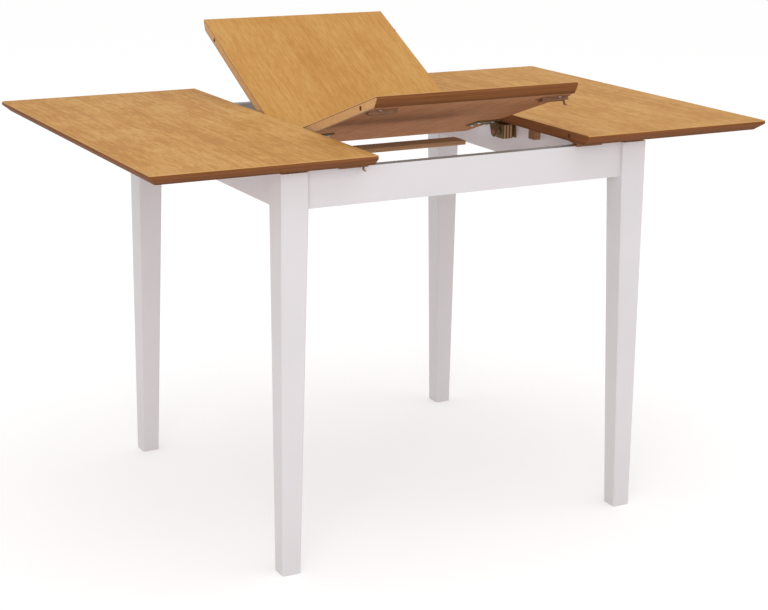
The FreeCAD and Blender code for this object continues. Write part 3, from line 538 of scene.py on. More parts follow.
@dataclass(frozen=True)
class LaminatedBlock:
    """Birch laminations glued face to face and wiped with brown stain.

    The cut ends show each lamination as an upright stripe, pale wood between dark glue lines. The faces along
    the laminations take the stain evenly; their dark olive brown is partly their stain and partly painted
    shade.
    """

    name: str
    lamination: float = 3.4
    # dark olive of the cheeks: their stain darkened as painted shade
    shaded_cheek: str = "#6C5A35"
    shaded_cheek_light: str = "#86714A"
    pale: str = "#B0906F"
    stain: str = "#6A4A2C"

    def build(self) -> Material:
        """Make the material.

        Returns:
            The finished material.
        """
        s = Shader(self.name)
        along = add(s.tree, "ShaderNodeSeparateXYZ", {0: s.spot}).outputs["X"]
        # laminations 3.4 mm thick, whose edges wander by a fifth of that either way
        wander = s.pattern((9, 9, 40), 2.0, 0.5)
        drift = add(s.tree, "ShaderNodeMath", {0: wander, 1: 0.4}, operation="MULTIPLY").outputs[0]
        count = add(s.tree, "ShaderNodeMath", {0: along, 1: 1 / (self.lamination * MM), 2: drift},
                    operation="MULTIPLY_ADD").outputs[0]
        stripe = add(s.tree, "ShaderNodeMath", {0: count, 1: 1.0}, operation="PINGPONG").outputs[0]
        cut_end = s.lay(self.stain, self.pale, stripe, 0.30, 0.75)
        fibres = s.pattern((2, 2, 60), 3.0, 0.6)
        # the cheeks take the dark olive, partly painted shade
        shaded_cheek = s.lay(self.shaded_cheek, self.shaded_cheek_light, fibres)
        colour = s.lay_on_faces(cut_end, shaded_cheek, Facing.RIGHT.value, both_ways=True)
        s.constant(IOR=1.45, Specular_IOR_Level=0.25)
        return s.coat(colour, (fibres, 0.60, 0.75), (fibres, 0.08, 0.5))


@dataclass(frozen=True)
class PlatedSteel:
    """Pressed steel or die-cast zinc, plated: soft metal sheen with fine scratches and a mottled film."""

    name: str
    bright: str = "#C9C9C6"
    dull: str = "#A3A39F"
    rough: float = 0.34

    def build(self) -> Material:
        """Make the material.

        Returns:
            The finished material.
        """
        s = Shader(self.name)
        # plating mottle 6 mm across and drawn scratches 0.4 mm apart
        mottle = s.pattern((6, 6, 6), 3.0, 0.6)
        scratches = s.pattern((12, 0.4, 0.4), 2.0, 0.6)
        s.constant(Metallic=1.0)
        return s.coat(s.lay(self.dull, self.bright, mottle),
                      (scratches, self.rough - 0.08, self.rough + 0.12), (scratches, 0.02, 0.4))


@dataclass(frozen=True)
class BrownedSteel:
    """Pressed steel, chemically browned and oiled: a dark brown film, half dull, with bright chips."""

    name: str
    film_dark: str = "#7C5740"
    film_light: str = "#926B50"
    chip: str = "#B9AFA2"

    def build(self) -> Material:
        """Make the material.

        Returns:
            The finished material.
        """
        s = Shader(self.name)
        # blotches of the browning bath 7 mm across, chips 0.9 mm across
        blotches = s.pattern((7, 7, 7), 4.0, 0.6)
        chips = add(s.tree, "ShaderNodeMapRange", {
            "Value": s.pattern((0.9, 0.9, 0.9), 2.0, 0.5, 5.0), "From Min": 0.72, "From Max": 0.76},
            interpolation_type="SMOOTHSTEP").outputs[0]
        film = s.lay(self.film_dark, self.film_light, blotches)
        colour = add(s.tree, "ShaderNodeMix", {0: chips, 6: film, 7: linear(self.chip)}, data_type="RGBA")
        metal = add(s.tree, "ShaderNodeMath", {0: chips, 1: 0.8, 2: 0.15}, operation="MULTIPLY_ADD")
        s.feed(Metallic=metal.outputs[0])
        s.constant(Specular_IOR_Level=0.2)
        return s.coat(colour.outputs[2], (blotches, 0.58, 0.75), (blotches, 0.02, 0.4))


@dataclass(frozen=True)
class MouldedNylon:
    """Injection-moulded brown nylon: dark, fine-grained and half dull."""

    name: str = "Moulded brown nylon"
    dark: str = "#453625"
    light: str = "#5B4932"

    def build(self) -> Material:
        """Make the material.

        Returns:
            The finished material.
        """
        s = Shader(self.name)
        # grain of the mould 0.8 mm across
        grain = s.pattern((0.8, 0.8, 0.8), 2.0, 0.5)
        colour = add(s.tree, "ShaderNodeMix", {0: grain, 6: linear(self.dark), 7: linear(self.light)},
                     data_type="RGBA")
        s.constant(IOR=1.53)
        return s.coat(colour.outputs[2], (grain, 0.40, 0.55), (grain, 0.02, 0.3))


# ---------------------------------------------------------------------------------------------------
# Shapes
# ---------------------------------------------------------------------------------------------------
@dataclass
class Island:
    """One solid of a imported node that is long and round, measured: where it starts, its way and its sizes."""

    start: Vector
    way: Vector
    length: float
    radius: float
    head: float
    shank: float


class Measured:
    """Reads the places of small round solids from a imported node, so that full pieces can stand there."""

    def __init__(self, node: bpy.types.Object) -> None:
        """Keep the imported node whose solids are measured."""
        self.node = node

    def solids(self) -> list[np.ndarray]:
        """Split the node into its solids.

        Returns:
            The corner points of each solid.
        """
        work = bmesh.new()
        work.from_mesh(self.node.data)
        bmesh.ops.remove_doubles(work, verts=work.verts, dist=1e-6)
        left = set(work.verts)
        found = []
        while left:
            stack = [left.pop()]
            points = []
            while stack:
                vertex = stack.pop()
                points.append(tuple(vertex.co))
                for edge in vertex.link_edges:
                    other = edge.other_vert(vertex)
                    if other in left:
                        left.remove(other)
                        stack.append(other)
            found.append(np.array(points))
        work.free()
        return sorted(found, key=lambda p: tuple(p.mean(0).round(4)))

    def islands(self, flat: bool) -> list[Island]:
        """Measure each solid about its own axis.

        Args:
            flat: True for rings and discs, whose axis is their shortest side.

        Returns:
            One island for each solid, its start at the wider end.
        """
        measured = []
        for points in self.solids():
            middle = points.mean(0)
            _, _, axes = np.linalg.svd(points - middle)
            way = axes[2 if flat else 0]
            along = (points - middle) @ way
            off = np.linalg.norm((points - middle) - np.outer(along, way), axis=1)
            # the points near the greatest radius belong to the head
            wide = along[off > 0.9 * off.max()]
            if wide.mean() > (along.max() + along.min()) / 2:
                way = -way
                along = -along
                wide = -wide
            head = wide.max() - along.min()
            thin = off[along > along.min() + head + 1e-5]
            start = Vector(middle) + Vector(way) * float(along.min())
            shank = float(thin.min()) if len(thin) else float(off.min())
            length = float(along.max() - along.min())
            measured.append(Island(start, Vector(way), length, float(off.max()), float(head), shank))
        return measured


def lathe(outline: Sequence[tuple[float, float]], segments: int, ripple: float = 0.0, count: int = 0) -> Mesh:
    """Turn an outline about Z.

    Args:
        outline: (radius, height) points from one end to the other; a radius of 0 closes the end.
        segments: facets round the axis.
        ripple: depth of lengthwise flutes, as a share of the radius.
        count: number of flutes.

    Returns:
        The turned mesh.
    """
    mesh = bmesh.new()
    rings = []
    for radius, height in outline:
        if radius <= 0:
            rings.append([mesh.verts.new((0, 0, height))])
            continue
        ring = []
        for i in range(segments):
            turn = 2 * math.pi * i / segments
            reach = radius * (1 - ripple * (0.5 - 0.5 * math.cos(count * turn)))
            ring.append(mesh.verts.new((reach * math.cos(turn), reach * math.sin(turn), height)))
        rings.append(ring)
    for low, high in zip(rings, rings[1:]):
        for i in range(segments):
            j = (i + 1) % segments
            # a ring that closes to a point gives the same corner twice
            loop = [low[i % len(low)], low[j % len(low)], high[j % len(high)], high[i % len(high)]]
            unique = list(dict.fromkeys(loop))
            if len(unique) > 2:
                mesh.faces.new(unique)
    bmesh.ops.recalc_face_normals(mesh, faces=mesh.faces)
    return mesh


def aimed(island: Island) -> Matrix:
    """Placement that puts a mesh made along +Z onto an island."""
    turn = island.way.to_track_quat("Z", "Y").to_matrix().to_4x4()
    return Matrix.Translation(island.start) @ turn


def pour(whole: Mesh, part: Mesh, place: Optional[Matrix] = None) -> None:
    """Move a mesh into another one and free it.

    Args:
        whole: mesh that takes it.
        part: mesh that is moved.
        place: where it goes, or None to leave it where it is.
    """
    if place is not None:
        part.transform(place)
    held = bpy.data.meshes.new("held")
    part.to_mesh(held)
    part.free()
    whole.from_mesh(held)
    bpy.data.meshes.remove(held)


def gathered(name: str, parts: Sequence[Mesh], places: Sequence[Matrix], sharp: float = 35.0
             ) -> bpy.types.Object:
    """Make one object from several small meshes.

    Args:
        name: name of the object.
        parts: meshes, freed here.
        places: where each one goes.
        sharp: edges that turn by more than this many degrees stay crisp.

    Returns:
        The object, linked to the scene.
    """
    whole = bmesh.new()
    for part, place in zip(parts, places):
        pour(whole, part, place)
    mesh = bpy.data.meshes.new(name)
    whole.to_mesh(mesh)
    whole.free()
    made = bpy.data.objects.new(name, mesh)
    bpy.context.scene.collection.objects.link(made)
    mesh.shade_smooth()
    mesh.set_sharp_from_angle(angle=math.radians(sharp))
    return made


# ---------------------------------------------------------------------------------------------------
# Small pieces made in full
# ---------------------------------------------------------------------------------------------------
@dataclass
class Fastening:
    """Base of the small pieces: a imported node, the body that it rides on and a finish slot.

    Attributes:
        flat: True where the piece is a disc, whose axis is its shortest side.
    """

    node: str
    body: str
    slot: Slot
    flat: bool = False

    def shape(self, island: Island) -> Mesh:
        """Make one piece along +Z from the island's start."""
        raise NotImplementedError

    def build(self, frame: dict[str, Any]) -> bpy.types.Object:
        """Make every piece of the node where its solid stands.


        Returns:
            The new object.
        """
        islands = Measured(frame["nodes"][self.node]).islands(self.flat)
        LOG.info("%s: %d pieces", self.node, len(islands))
        return gathered(self.node + "_full", [self.shape(i) for i in islands], [aimed(i) for i in islands])

    def make(self, frame: dict[str, Any], material: Material) -> None:
        """Make the node's pieces in full, in the place of their plain solids.

        Args:
            material: finish of the pieces.
        """
        made = self.build(frame)
        made.data.materials.append(material)
        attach(made, self.body)
        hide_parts(self.node)
        LOG.info("%s: %s, on %s", made.name, material.name, self.body)


@dataclass
class CrossScrew(Fastening):
    """Countersunk-under-head wood screws with a domed head, a cross recess and a threaded shank.

    Attributes:
        recess: reach of the cross's arms, as a share of the head's radius.
        arm: half the width of an arm, as a share of the head's radius.
        dome: (radius, height) of the head's rings, as shares of its own.
        pitch: of the thread, in millimetres.
        valley: start of each turn's root, in millimetres from the turn's own start.
        crest: start of its crest, likewise.
        root: radius of the thread's root, as a share of the shank's.
        threaded: share of the shank that carries the thread.
        sides: facets round the shank.
    """

    recess: float = 0.62
    arm: float = 0.13
    dome: tuple[tuple[float, float], ...] = ((0.78, 0.08), (0.94, 0.22), (1.0, 0.5), (1.0, 0.8), (0.96, 1.0))
    pitch: float = 1.6
    valley: float = 0.1
    crest: float = 0.8
    root: float = 0.72
    threaded: float = 0.9
    sides: int = 10

    def cross(self, radius: float) -> list[Vector]:
        """Outline the cross recess.

        Args:
            radius: radius of the head.

        Returns:
            Its corners, in order round the axis.
        """
        reach = radius * self.recess
        half = radius * self.arm
        # one quarter: the inner corner, a point where the wall bends, the arm's end and the next bend
        quarter = ((half, half), (half * 2.2, half * 0.95), (reach, half * 0.8), (reach, -half * 0.8),
                   (half * 2.2, -half * 0.95))
        points = [Matrix.Rotation(QUARTER_TURN * i, 3, "Z") @ Vector((x, y, 0))
                  for i in range(4) for x, y in quarter]
        return sorted(points, key=lambda p: math.atan2(p.y, p.x))

    def thread(self, island: Island) -> Mesh:
        """Turn the shank with its thread and point.

        Args:
            island: measured solid.

        Returns:
            The shank's mesh.
        """
        head = island.head
        shank = island.shank
        rest = island.length - head
        turns = max(3, int(rest / (self.pitch * MM)))
        outline = [(0.0, head * 0.9), (shank * 0.8, head * 0.98)]
        for i in range(turns):
            z = head + rest * self.threaded * i / turns
            outline += [(shank * self.root, z + self.valley * MM), (shank, z + self.crest * MM)]
        outline += [(shank * 0.6, island.length * 0.95), (0.0, island.length)]
        return lathe(outline, self.sides)

    def shape(self, island: Island) -> Mesh:
        """Make one screw, head first.

        Args:
            island: measured solid.

        Returns:
            The screw's mesh.
        """
        radius = island.radius
        head = island.head
        mesh = bmesh.new()
        # the recess is left open in a ring of head surface, so its walls and floor are real faces
        order = self.cross(radius)
        rim = [mesh.verts.new((p.x, p.y, head * 0.10)) for p in order]
        floor = [mesh.verts.new((p.x * 0.55, p.y * 0.55, head * 0.75)) for p in order]
        rings = [floor, rim]
        for scale, height in self.dome:
            ring = []
            for p in order:
                out = Vector((p.x, p.y)).normalized() * radius * scale
                ring.append(mesh.verts.new((out.x, out.y, head * height)))
            rings.append(ring)
        for low, high in zip(rings, rings[1:]):
            for i in range(len(order)):
                j = (i + 1) % len(order)
                mesh.faces.new((low[i], low[j], high[j], high[i]))
        mesh.faces.new(floor)
        mesh.faces.new(rings[-1][::-1])
        pour(mesh, self.thread(island))
        bmesh.ops.recalc_face_normals(mesh, faces=mesh.faces)
        return mesh


@dataclass
class FlutedDowel(Fastening):
    """Beech dowels with lengthwise flutes and a chamfer at each end.

    Attributes:
        flutes: number of flutes.
        flute_sides: facets in each flute.
        flute_depth: as a share of the dowel's radius.
        chamfer: length of each chamfer, as a share of the dowel's.
    """

    flutes: int = 18
    flute_sides: int = 4
    flute_depth: float = 0.07
    chamfer: float = 0.05

    def shape(self, island: Island) -> Mesh:
        """Make one dowel.

        Args:
            island: measured solid.

        Returns:
            The dowel's mesh.
        """
        radius = island.radius * ROUNDED
        length = island.length
        end = radius * 0.7
        outline = [(0.0, 0.0), (end, 0.0), (radius, length * self.chamfer),
                   (radius, length * (1 - self.chamfer)), (end, length), (0.0, length)]
        return lathe(outline, self.flutes * self.flute_sides, self.flute_depth, self.flutes)


@dataclass
class HangerBolt(Fastening):
    """Hanger bolts: a plain middle and threads at both ends.

    Attributes:
        pitch: of the thread, in millimetres.
        root: radius of the thread's root, as a share of the bolt's.
        plain: stretch of the length that has no thread, as shares.
        sides: facets round the bolt.
    """

    pitch: float = 1.25
    root: float = 0.86
    plain: tuple[float, float] = (0.35, 0.6)
    sides: int = 20

    def shape(self, island: Island) -> Mesh:
        """Make one bolt.

        Args:
            island: measured solid.

        Returns:
            The bolt's mesh.
        """
        radius = island.radius * ROUNDED
        length = island.length
        pitch = self.pitch * MM
        end = radius * 0.7
        outline = [(0.0, 0.0), (end, 0.0)]
        turns = int(length / pitch)
        for i in range(turns):
            z = length * (i + 0.5) / turns
            root = radius if self.plain[0] < z / length < self.plain[1] else radius * self.root
            outline += [(root, z - 0.25 * pitch), (radius, z + 0.2 * pitch)]
        outline += [(end, length), (0.0, length)]
        return lathe(outline, self.sides)


@dataclass
class RoundWasher(Fastening):
    """Plain round washers with rolled edges."""

    flat: bool = True
    hole: float = 3.1

    def shape(self, island: Island) -> Mesh:
        """Make one washer.

        Args:
            island: measured solid.

        Returns:
            The washer's mesh.
        """
        radius = island.radius * ROUNDED
        thick = island.length
        hole = self.hole * MM
        edge = thick * 0.25
        outline = [(hole, 0.0), (radius - edge, 0.0), (radius, edge), (radius, thick - edge),
                   (radius - edge, thick), (hole, thick), (hole, 0.0)]
        return lathe(outline, ROUND_SIDES)


@dataclass
class FlangedBush(Fastening):
    """Moulded bushes: a flange with a soft rim, a body and a through bore."""

    bore: float = 4.05
    body_radius: float = 5.9
    flange: float = 1.5
    rim: float = 0.35

    def shape(self, island: Island) -> Mesh:
        """Make one bush, flange first.

        Args:
            island: measured solid.

        Returns:
            The bush's mesh.
        """
        radius = island.radius * ROUNDED
        length = island.length
        bore = self.bore * MM
        sleeve = self.body_radius * MM
        flange = self.flange * MM
        rim = self.rim * MM
        outline = [(bore + rim, 0.0), (radius - rim, 0.0), (radius, rim), (radius, flange), (sleeve, flange),
                   (sleeve, length), (bore, length), (bore, rim), (bore + rim, 0.0)]
        return lathe(outline, ROUND_SIDES)


@dataclass
class HeadedPin(Fastening):
    """Pivot pins: a domed head and a ground shank with a chamfered end."""

    shank_radius: float = 3.99
    head_height: float = 2.5
    chamfer: float = 0.6

    def shape(self, island: Island) -> Mesh:
        """Make one pin, head first.

        Args:
            island: measured solid.

        Returns:
            The pin's mesh.
        """
        radius = island.radius * ROUNDED
        length = island.length
        head = self.head_height * MM
        shank = self.shank_radius * MM
        chamfer = self.chamfer * MM
        dome = [(radius * 0.55, head * 0.06), (radius * 0.85, head * 0.28), (radius, head * 0.6)]
        outline = [(0.0, 0.0), *dome, (radius, head), (shank, head), (shank, length - chamfer),
                   (shank - chamfer, length), (0.0, length)]
        return lathe(outline, ROUND_SIDES)


@dataclass
class LatchBolt(Fastening):
    """Flat sliding bolt with cut corners at its nose and a thin finger tab, curled forward at its tip.

    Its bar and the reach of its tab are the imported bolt's own. Only the tab is drawn thinner and narrower.

    Attributes:
        lean: turn about X that makes the bolt level, in degrees.
        bar: thickness of the bar, in millimetres as the other sizes are.
        sheet: thickness of the tab.
        tab_width: width of the tab.
        nose: cut of the nose's corners.
        curl: inner radius of the tab's bend.
        rooted: depth of the tab's root inside the bar.
        set_back: distance from the tab's tip to the end of the nose.
        steps: flats in the bend.
    """

    lean: float = 0.0
    bar: float = 3.0
    sheet: float = 1.7
    tab_width: float = 5.0
    nose: float = 2.0
    curl: float = 3.0
    rooted: float = 1.0
    set_back: float = 1.0
    steps: int = 6

    def box(self, frame: dict[str, Any]) -> tuple[np.ndarray, np.ndarray]:
        """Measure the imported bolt, turned level.


        Returns:
            Its lowest and its highest corner.
        """
        level = np.array(Matrix.Rotation(math.radians(self.lean), 3, "X"))
        points = np.array([tuple(v.co) for v in frame["nodes"][self.node].data.vertices]) @ level.T
        return points.min(0), points.max(0)

    def build(self, frame: dict[str, Any]) -> bpy.types.Object:
        """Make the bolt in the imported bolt's place.


        Returns:
            The new object.
        """
        low, high = self.box(frame)
        middle = (low[1] + high[1]) / 2
        under = high[2] - self.bar * MM
        mesh = bmesh.new()
        # the bar's plan: square at the back, two cut corners at the nose
        cut = self.nose * MM
        plan = [(low[0], low[1]), (high[0] - cut, low[1]), (high[0], low[1] + cut),
                (high[0], high[1] - cut), (high[0] - cut, high[1]), (low[0], high[1])]
        self.extrude(mesh, [Vector((x, y, under)) for x, y in plan], Vector((0, 0, self.bar * MM)))
        # the tab's outline: down from inside the bar, then forward to its tip in a quarter turn
        inner = self.curl * MM
        outer = (self.curl + self.sheet) * MM
        pivot_x = high[0] - self.set_back * MM
        pivot_z = low[2] + outer
        root = under + self.rooted * MM
        turns = [QUARTER_TURN * step / self.steps for step in range(self.steps + 1)]
        outline = [(pivot_x - outer, root)]
        outline += [(pivot_x - outer * math.cos(turn), pivot_z - outer * math.sin(turn)) for turn in turns]
        outline += [(pivot_x - inner * math.cos(turn), pivot_z - inner * math.sin(turn))
                    for turn in turns[::-1]]
        outline.append((pivot_x - inner, root))
        half = self.tab_width / 2 * MM
        self.extrude(mesh, [Vector((x, middle - half, z)) for x, z in outline], Vector((0, 2 * half, 0)))
        bmesh.ops.recalc_face_normals(mesh, faces=mesh.faces)
        return gathered(self.node + "_full", [mesh], [Matrix.Rotation(math.radians(-self.lean), 4, "X")])

    def extrude(self, mesh: Mesh, outline: Sequence[Vector], way: Vector) -> None:
        """Add a plate: an outline and its copy, joined all round.

        Args:
            mesh: mesh that gets the plate.
            outline: corners of its first side.
            way: step from the first side to the second.
        """
        first = [mesh.verts.new(p) for p in outline]
        second = [mesh.verts.new(p + way) for p in outline]
        mesh.faces.new(first)
        mesh.faces.new(second[::-1])
        for i, low in enumerate(first):
            j = (i + 1) % len(first)
            mesh.faces.new((low, first[j], second[j], second[i]))


# ---------------------------------------------------------------------------------------------------
# Sub-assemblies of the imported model
# ---------------------------------------------------------------------------------------------------
@dataclass
class Assembly:
    """Base of the sub-assemblies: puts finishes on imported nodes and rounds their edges.

    Attributes:
        soft_edge: usual width of a rounded edge, in millimetres.
        track_edge: that of the latch tracks.
        hardware_edge: that of nuts and hinges.
    """

    frame: dict[str, Any]
    soft_edge: float = 0.5
    track_edge: float = 0.35
    hardware_edge: float = 0.3

    def dress(self, name: str, material: Material, soft: Optional[float] = None) -> None:
        """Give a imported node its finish.

        Args:
            name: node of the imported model.
            material: its finish.
            soft: width of the rounding on its edges in millimetres, or None for none.
        """
        node = self.frame["nodes"][name]
        node.data.materials.clear()
        node.data.materials.append(material)
        if soft:
            rounding = node.modifiers.new("eased edges", "BEVEL")
            rounding.width = soft * MM
            rounding.segments = 2
            rounding.limit_method = "ANGLE"
            rounding.angle_limit = math.radians(40)
            rounding.use_clamp_overlap = True
            rounding.harden_normals = True
        LOG.info("%s: %s", name, material.name)

    def face_level(self, name: str, lean: float = 0.0) -> float:
        """Height in metres of a board's face, once it is turned level by `lean` degrees about X."""
        level = Matrix.Rotation(math.radians(lean), 3, "X")
        return max((level @ vertex.co).z for vertex in self.frame["nodes"][name].data.vertices)


@dataclass
class TableFrame(Assembly):
    """White frame: four tapered legs, four aprons, two cross rails and what holds them together."""

    aprons: tuple[tuple[str, Way, Facing], ...] = (
        ("near_apron", Way.ALONG_X, Facing.FAR),
        ("far_apron", Way.ALONG_X, Facing.NEAR),
        ("left_end_apron", Way.ALONG_Y, Facing.RIGHT),
        ("right_end_apron", Way.ALONG_Y, Facing.LEFT),
    )
    clip_edge: float = 0.4

    def make(self) -> None:
        """Dress every piece of the frame."""
        upright = PaintedWood("Rubberwood leg, sprayed satin white", Way.ALONG_Z).build()
        rail = PaintedWood("Rubberwood rail, sprayed satin white", Way.ALONG_Y, (Facing.UP,)).build()
        for corner in ("near_left", "near_right", "far_left", "far_right"):
            self.dress("leg_" + corner, upright)
        for name, way, inward in self.aprons:
            finish = PaintedWood(f"Rubberwood {name.replace('_', ' ')}, sprayed satin white", way,
                                 (Facing.UP, inward))
            self.dress(name, finish.build(), self.soft_edge)
        for name in ("left_cross_rail", "right_cross_rail"):
            self.dress(name, rail, self.soft_edge)
        sawn = StainedWood("Rubberwood corner block, sawn and bare", Way.ALONG_Z, "#B08F66", "#D2B58C")
        self.dress("corner_blocks", sawn.build(), self.soft_edge)
        blocks = LaminatedBlock("Laminated birch pivot block, stained brown").build()
        for name in ("left_pivot_block", "right_pivot_block"):
            self.dress(name, blocks, self.soft_edge)
        zinc = PlatedSteel("Zinc plated steel, frame fittings").build()
        self.dress("hanger_nuts", zinc, self.hardware_edge)
        self.dress("runner_clips", PlatedSteel("Zinc plated pressed steel clip").build(), self.clip_edge)
        HangerBolt("hanger_bolts", "frame", Slot.ZINC).make(self.frame, zinc)
        RoundWasher("hanger_washers", "frame", Slot.ZINC).make(self.frame, zinc)
        for name in ("corner_block_screws", "clip_screws", "pivot_block_screws"):
            CrossScrew(name, "frame", Slot.ZINC).make(self.frame, zinc)
        FlangedBush("pivot_bushes", "frame", Slot.NYLON).make(self.frame, MouldedNylon().build())


@dataclass
class TopHalf(Assembly):
    """One half of the top with its runners, stop blocks and latch fittings.

    Attributes:
        side: which half it is.
    """

    side: Side = Side.LEFT

    def make(self) -> None:
        """Dress the half's board, runners and fittings."""
        side = self.side.value
        shift, latch = {Side.LEFT: (0.0, "latch"), Side.RIGHT: (11.0, "keeper")}[self.side]
        board = side + "_top"
        veneer = OakVeneer(f"Oak veneer, satin lacquer, {side} half", shift=shift,
                           face_level=self.face_level(board))
        self.dress(board, veneer.build())
        # the last colour, for the runners' upper faces, is painted light
        runner = StainedWood(f"Hardwood runner, stained brown, {side}", Way.ALONG_X, "#8E6546", "#B38863",
                             shift, "#7F5B3B", "#AA9578").build()
        for name in ("long_runner", "short_runner", "stop_blocks"):
            self.dress(f"{side}_{name}", runner, self.soft_edge)
        zinc = PlatedSteel(f"Zinc plated steel, {side} half").build()
        track = BrownedSteel(f"Browned steel track, {side} half").build()
        self.dress(f"{side}_{latch}_track", track, self.track_edge)
        for name in ("runner", "stop", latch):
            CrossScrew(f"{side}_{name}_screws", side + "_half", Slot.ZINC).make(self.frame, zinc)
        if self.side is Side.LEFT:
            bolt = BrownedSteel("Browned steel bolt, left").build()
            LatchBolt("left_latch_bolt", "left_bolt", Slot.DARK).make(self.frame, bolt)
            beech = StainedWood("Beech dowel, turned and bare", Way.ALONG_X, "#C19A68", "#DDBB8B").build()
            FlutedDowel("left_dowels", "left_half", Slot.BEECH).make(self.frame, beech)


@dataclass
class ButterflyLeaf(Assembly):
    """The folding leaf: two hinged boards, their pivots, hinges, dowels and seam latch.

    Attributes:
        near_lean: turn about X that makes the near board level, in degrees.
        far_lean: that of the far board.
        spread: of the veneer's tone, which is calmer here than on the halves.
    """

    near_lean: float = 19.03
    far_lean: float = -26.84
    spread: float = 0.15

    def board(self, part: str, lean: float, shift: float, fold: Facing) -> None:
        """Dress one board, whose ends and fold edge were left bare.

        Args:
            part: "near" or "far".
            lean: turn about X that makes it level, in degrees.
            shift: moves its grain.
            fold: direction of its fold edge once it is level.
        """
        name = f"leaf_{part}_half"
        veneer = OakVeneer(f"Oak veneer, satin lacquer, {part} leaf board", lean, shift,
                           (Facing.RIGHT, Facing.LEFT, fold), self.face_level(name, lean), self.spread)
        self.dress(name, veneer.build())

    def make(self) -> None:
        """Dress both boards and their fittings."""
        self.board("near", self.near_lean, 23.0, Facing.FAR)
        self.board("far", self.far_lean, 37.0, Facing.NEAR)
        zinc = PlatedSteel("Zinc plated steel, leaf").build()
        brown = BrownedSteel("Browned pressed steel, leaf").build()
        bracket = BrownedSteel("Browned pressed steel bracket", "#57462B", "#75603C").build()
        hinge = PlatedSteel("Die-cast zinc hinge", "#C2B9A4", "#958C78", 0.38)
        link = PlatedSteel("Steel hinge link", "#B5B2AA", "#8C8982", 0.36)
        for name in ("left_pivot_bracket", "right_pivot_bracket"):
            self.dress(name, bracket, self.soft_edge)
        for name in ("leaf_keeper_track", "leaf_latch_track"):
            self.dress(name, brown, self.track_edge)
        bolt = LatchBolt("leaf_latch_bolt", "leaf_bolt", Slot.DARK, lean=self.near_lean)
        bolt.make(self.frame, BrownedSteel("Browned steel bolt, leaf").build())
        for part, finish in (("bodies", hinge), ("links", link)):
            for board in ("near", "far"):
                self.dress(f"{board}_hinge_{part}", finish.build(), self.hardware_edge)
        HeadedPin("pivot_pins", "leaf_near", Slot.ZINC).make(self.frame, brown)
        for name, body in (("pivot_bracket_screws", "leaf_near"), ("near_hinge_screws", "leaf_near"),
                           ("leaf_track_screws", "leaf_near"), ("far_hinge_screws", "leaf_far")):
            CrossScrew(name, body, Slot.ZINC).make(self.frame, zinc)
        beech = StainedWood("Beech leaf dowel, turned and bare", Way.ALONG_X, "#C19A68", "#DDBB8B").build()
        FlutedDowel("leaf_near_dowels", "leaf_near", Slot.BEECH).make(self.frame, beech)
        FlutedDowel("leaf_far_dowels", "leaf_far", Slot.BEECH).make(self.frame, beech)


# ---------------------------------------------------------------------------------------------------
# Studio
# ---------------------------------------------------------------------------------------------------
@dataclass(frozen=True)
class SoftLamp:
    """A square soft lamp: its place and width in metres, and its power in watts."""

    name: str
    place: Triple
    width: float
    power: float


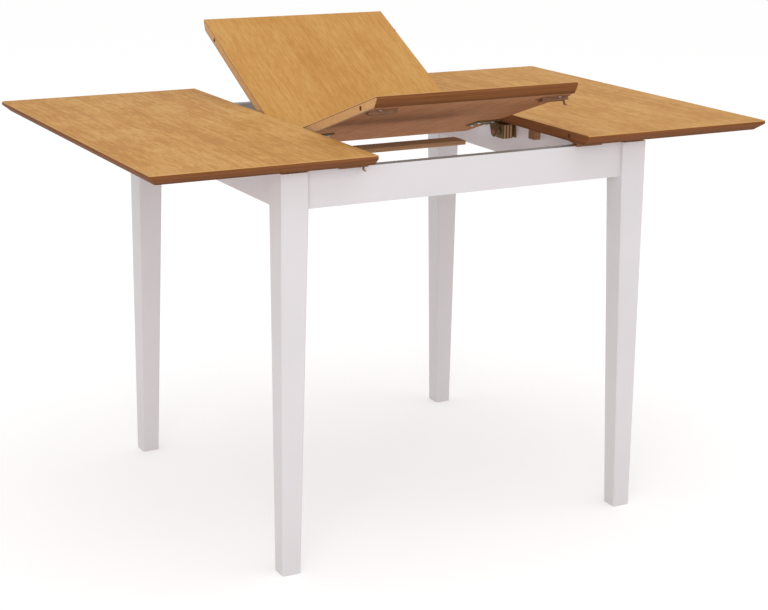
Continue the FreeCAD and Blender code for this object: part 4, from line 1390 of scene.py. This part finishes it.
@dataclass
class Studio:
    """Pale floor, white surroundings, soft lamps and the camera.

    Attributes:
        camera_place: where the camera stands.
        yaw: turn of its view from +Y towards +X, in degrees.
        pitch: how far it looks down, in degrees.
        roll: turn about its own view, in degrees.
        rise: how far the frame is shifted down, in pixels, which lifts the table in it.
        focal_pixels: focal length in pixels.
        frame_pixels: width of the frame in pixels.
        sensor: width of the sensor in millimetres.
        far_limit: distance that the camera sees.
        surround: light level of the surroundings on the table.
        floor_glow: light that the floor adds of its own, for the eye only.
        floor_reach: half the floor's width.
        floor_drop: depth of the floor under the feet.
        aim: what the lamps point at.
        lamps: the soft lamps.
    """

    camera_place: Triple = (-1.5263, -2.8593, 1.2703)
    yaw: float = 28.391
    pitch: float = 14.491
    roll: float = 0.631
    rise: float = 40.0
    focal_pixels: float = 1724.3
    frame_pixels: float = 768.0
    sensor: float = 36.0
    far_limit: float = 50.0
    surround: float = 0.85
    floor_colour: str = "#E9E8E8"
    floor_glow: float = 0.30
    floor_reach: float = 14.0
    floor_drop: float = 0.0005
    aim: Triple = (0.0, 0.0, 0.5)
    lamps: tuple[SoftLamp, ...] = (
        SoftLamp("front lamp", (-2.5, -3.8, 1.6), 2.6, 50.0),
        SoftLamp("top lamp", (0.3, -0.8, 4.0), 3.0, 14.0),
        SoftLamp("side lamp", (3.8, -1.5, 1.8), 2.6, 10.0),
    )

    def camera(self) -> None:
        """Make the camera: turned by yaw, pitched down, then rolled."""
        yaw, pitch, roll = (math.radians(angle) for angle in (self.yaw, self.pitch, self.roll))
        forward = Vector((math.sin(yaw) * math.cos(pitch), math.cos(yaw) * math.cos(pitch), -math.sin(pitch)))
        right = forward.cross(Vector((0, 0, 1))).normalized()
        up = right.cross(forward)
        rolled_right = right * math.cos(roll) + up * math.sin(roll)
        rolled_up = up * math.cos(roll) - right * math.sin(roll)
        data = bpy.data.cameras.new("camera")
        data.sensor_width = self.sensor
        data.lens = self.focal_pixels / self.frame_pixels * self.sensor
        data.shift_y = -self.rise / self.frame_pixels
        data.clip_end = self.far_limit
        camera = bpy.data.objects.new("camera", data)
        matrix = Matrix((rolled_right, rolled_up, -forward)).transposed().to_4x4()
        matrix.translation = Vector(self.camera_place)
        camera.matrix_world = matrix
        bpy.context.scene.collection.objects.link(camera)
        bpy.context.scene.camera = camera

    def seen(self, tree: bpy.types.NodeTree) -> Socket:
        """Tell the rays that show the surroundings themselves: straight, in a gloss or through glass.

        Args:
            tree: node tree that asks.

        Returns:
            1 for those rays, 0 for the others.
        """
        rays = add(tree, "ShaderNodeLightPath")
        first = add(tree, "ShaderNodeMath", {
            0: rays.outputs["Is Camera Ray"], 1: rays.outputs["Is Glossy Ray"]}, operation="MAXIMUM")
        return add(tree, "ShaderNodeMath", {
            0: first.outputs[0], 1: rays.outputs["Is Transmission Ray"]}, operation="MAXIMUM").outputs[0]

    def world(self) -> None:
        """Make the surroundings: white to the eye, a plain level on the table."""
        world = bpy.data.worlds.new("white studio")
        bpy.context.scene.world = world
        tree = cleared(world)
        level = add(tree, "ShaderNodeMix", {0: self.seen(tree), 2: self.surround, 3: 1.0}, data_type="FLOAT")
        back = add(tree, "ShaderNodeBackground", {"Color": (1, 1, 1, 1), "Strength": level.outputs[0]})
        add(tree, "ShaderNodeOutputWorld", {"Surface": back.outputs[0]})

    def floor(self) -> None:
        """Make the floor: a pale sheet that the eye sees white, and that keeps the table's soft shadow."""
        mesh = bmesh.new()
        bmesh.ops.create_grid(mesh, x_segments=8, y_segments=8, size=self.floor_reach)
        data = bpy.data.meshes.new("floor")
        mesh.to_mesh(data)
        mesh.free()
        floor = bpy.data.objects.new("floor", data)
        floor.location = (0, 0, -self.floor_drop)
        bpy.context.scene.collection.objects.link(floor)
        material = bpy.data.materials.new("Pale seamless paper floor")
        tree = cleared(material)
        matt = add(tree, "ShaderNodeBsdfDiffuse", {"Color": linear(self.floor_colour)})
        lifted = add(tree, "ShaderNodeMath", {0: self.seen(tree), 1: self.floor_glow}, operation="MULTIPLY")
        glow = add(tree, "ShaderNodeEmission", {"Color": (1, 1, 1, 1), "Strength": lifted.outputs[0]})
        both = add(tree, "ShaderNodeAddShader", {0: matt.outputs[0], 1: glow.outputs[0]})
        add(tree, "ShaderNodeOutputMaterial", {"Surface": both.outputs[0]})
        data.materials.append(material)

    def light(self) -> None:
        """Hang the soft lamps, each pointed at the table."""
        for lamp in self.lamps:
            data = bpy.data.lights.new(lamp.name, "AREA")
            data.shape = "SQUARE"
            data.size = lamp.width
            data.energy = lamp.power
            hung = bpy.data.objects.new(lamp.name, data)
            hung.location = lamp.place
            hung.rotation_euler = (Vector(self.aim) - Vector(lamp.place)).to_track_quat("-Z", "Y").to_euler()
            hung.visible_camera = False
            bpy.context.scene.collection.objects.link(hung)

    def make(self) -> None:
        """Set up the whole studio."""
        self.camera()
        self.world()
        self.floor()
        self.light()
        bpy.context.scene.view_settings.view_transform = "Standard"


def main() -> None:
    """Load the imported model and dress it."""
    logging.basicConfig(level=logging.INFO, format="%(message)s")
    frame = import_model()
    Studio().make()
    for assembly in (TableFrame(frame), TopHalf(frame, side=Side.LEFT), TopHalf(frame, side=Side.RIGHT),
                     ButterflyLeaf(frame)):
        assembly.make()
    bpy.context.view_layer.update()


if __name__ == "__main__":
    main()
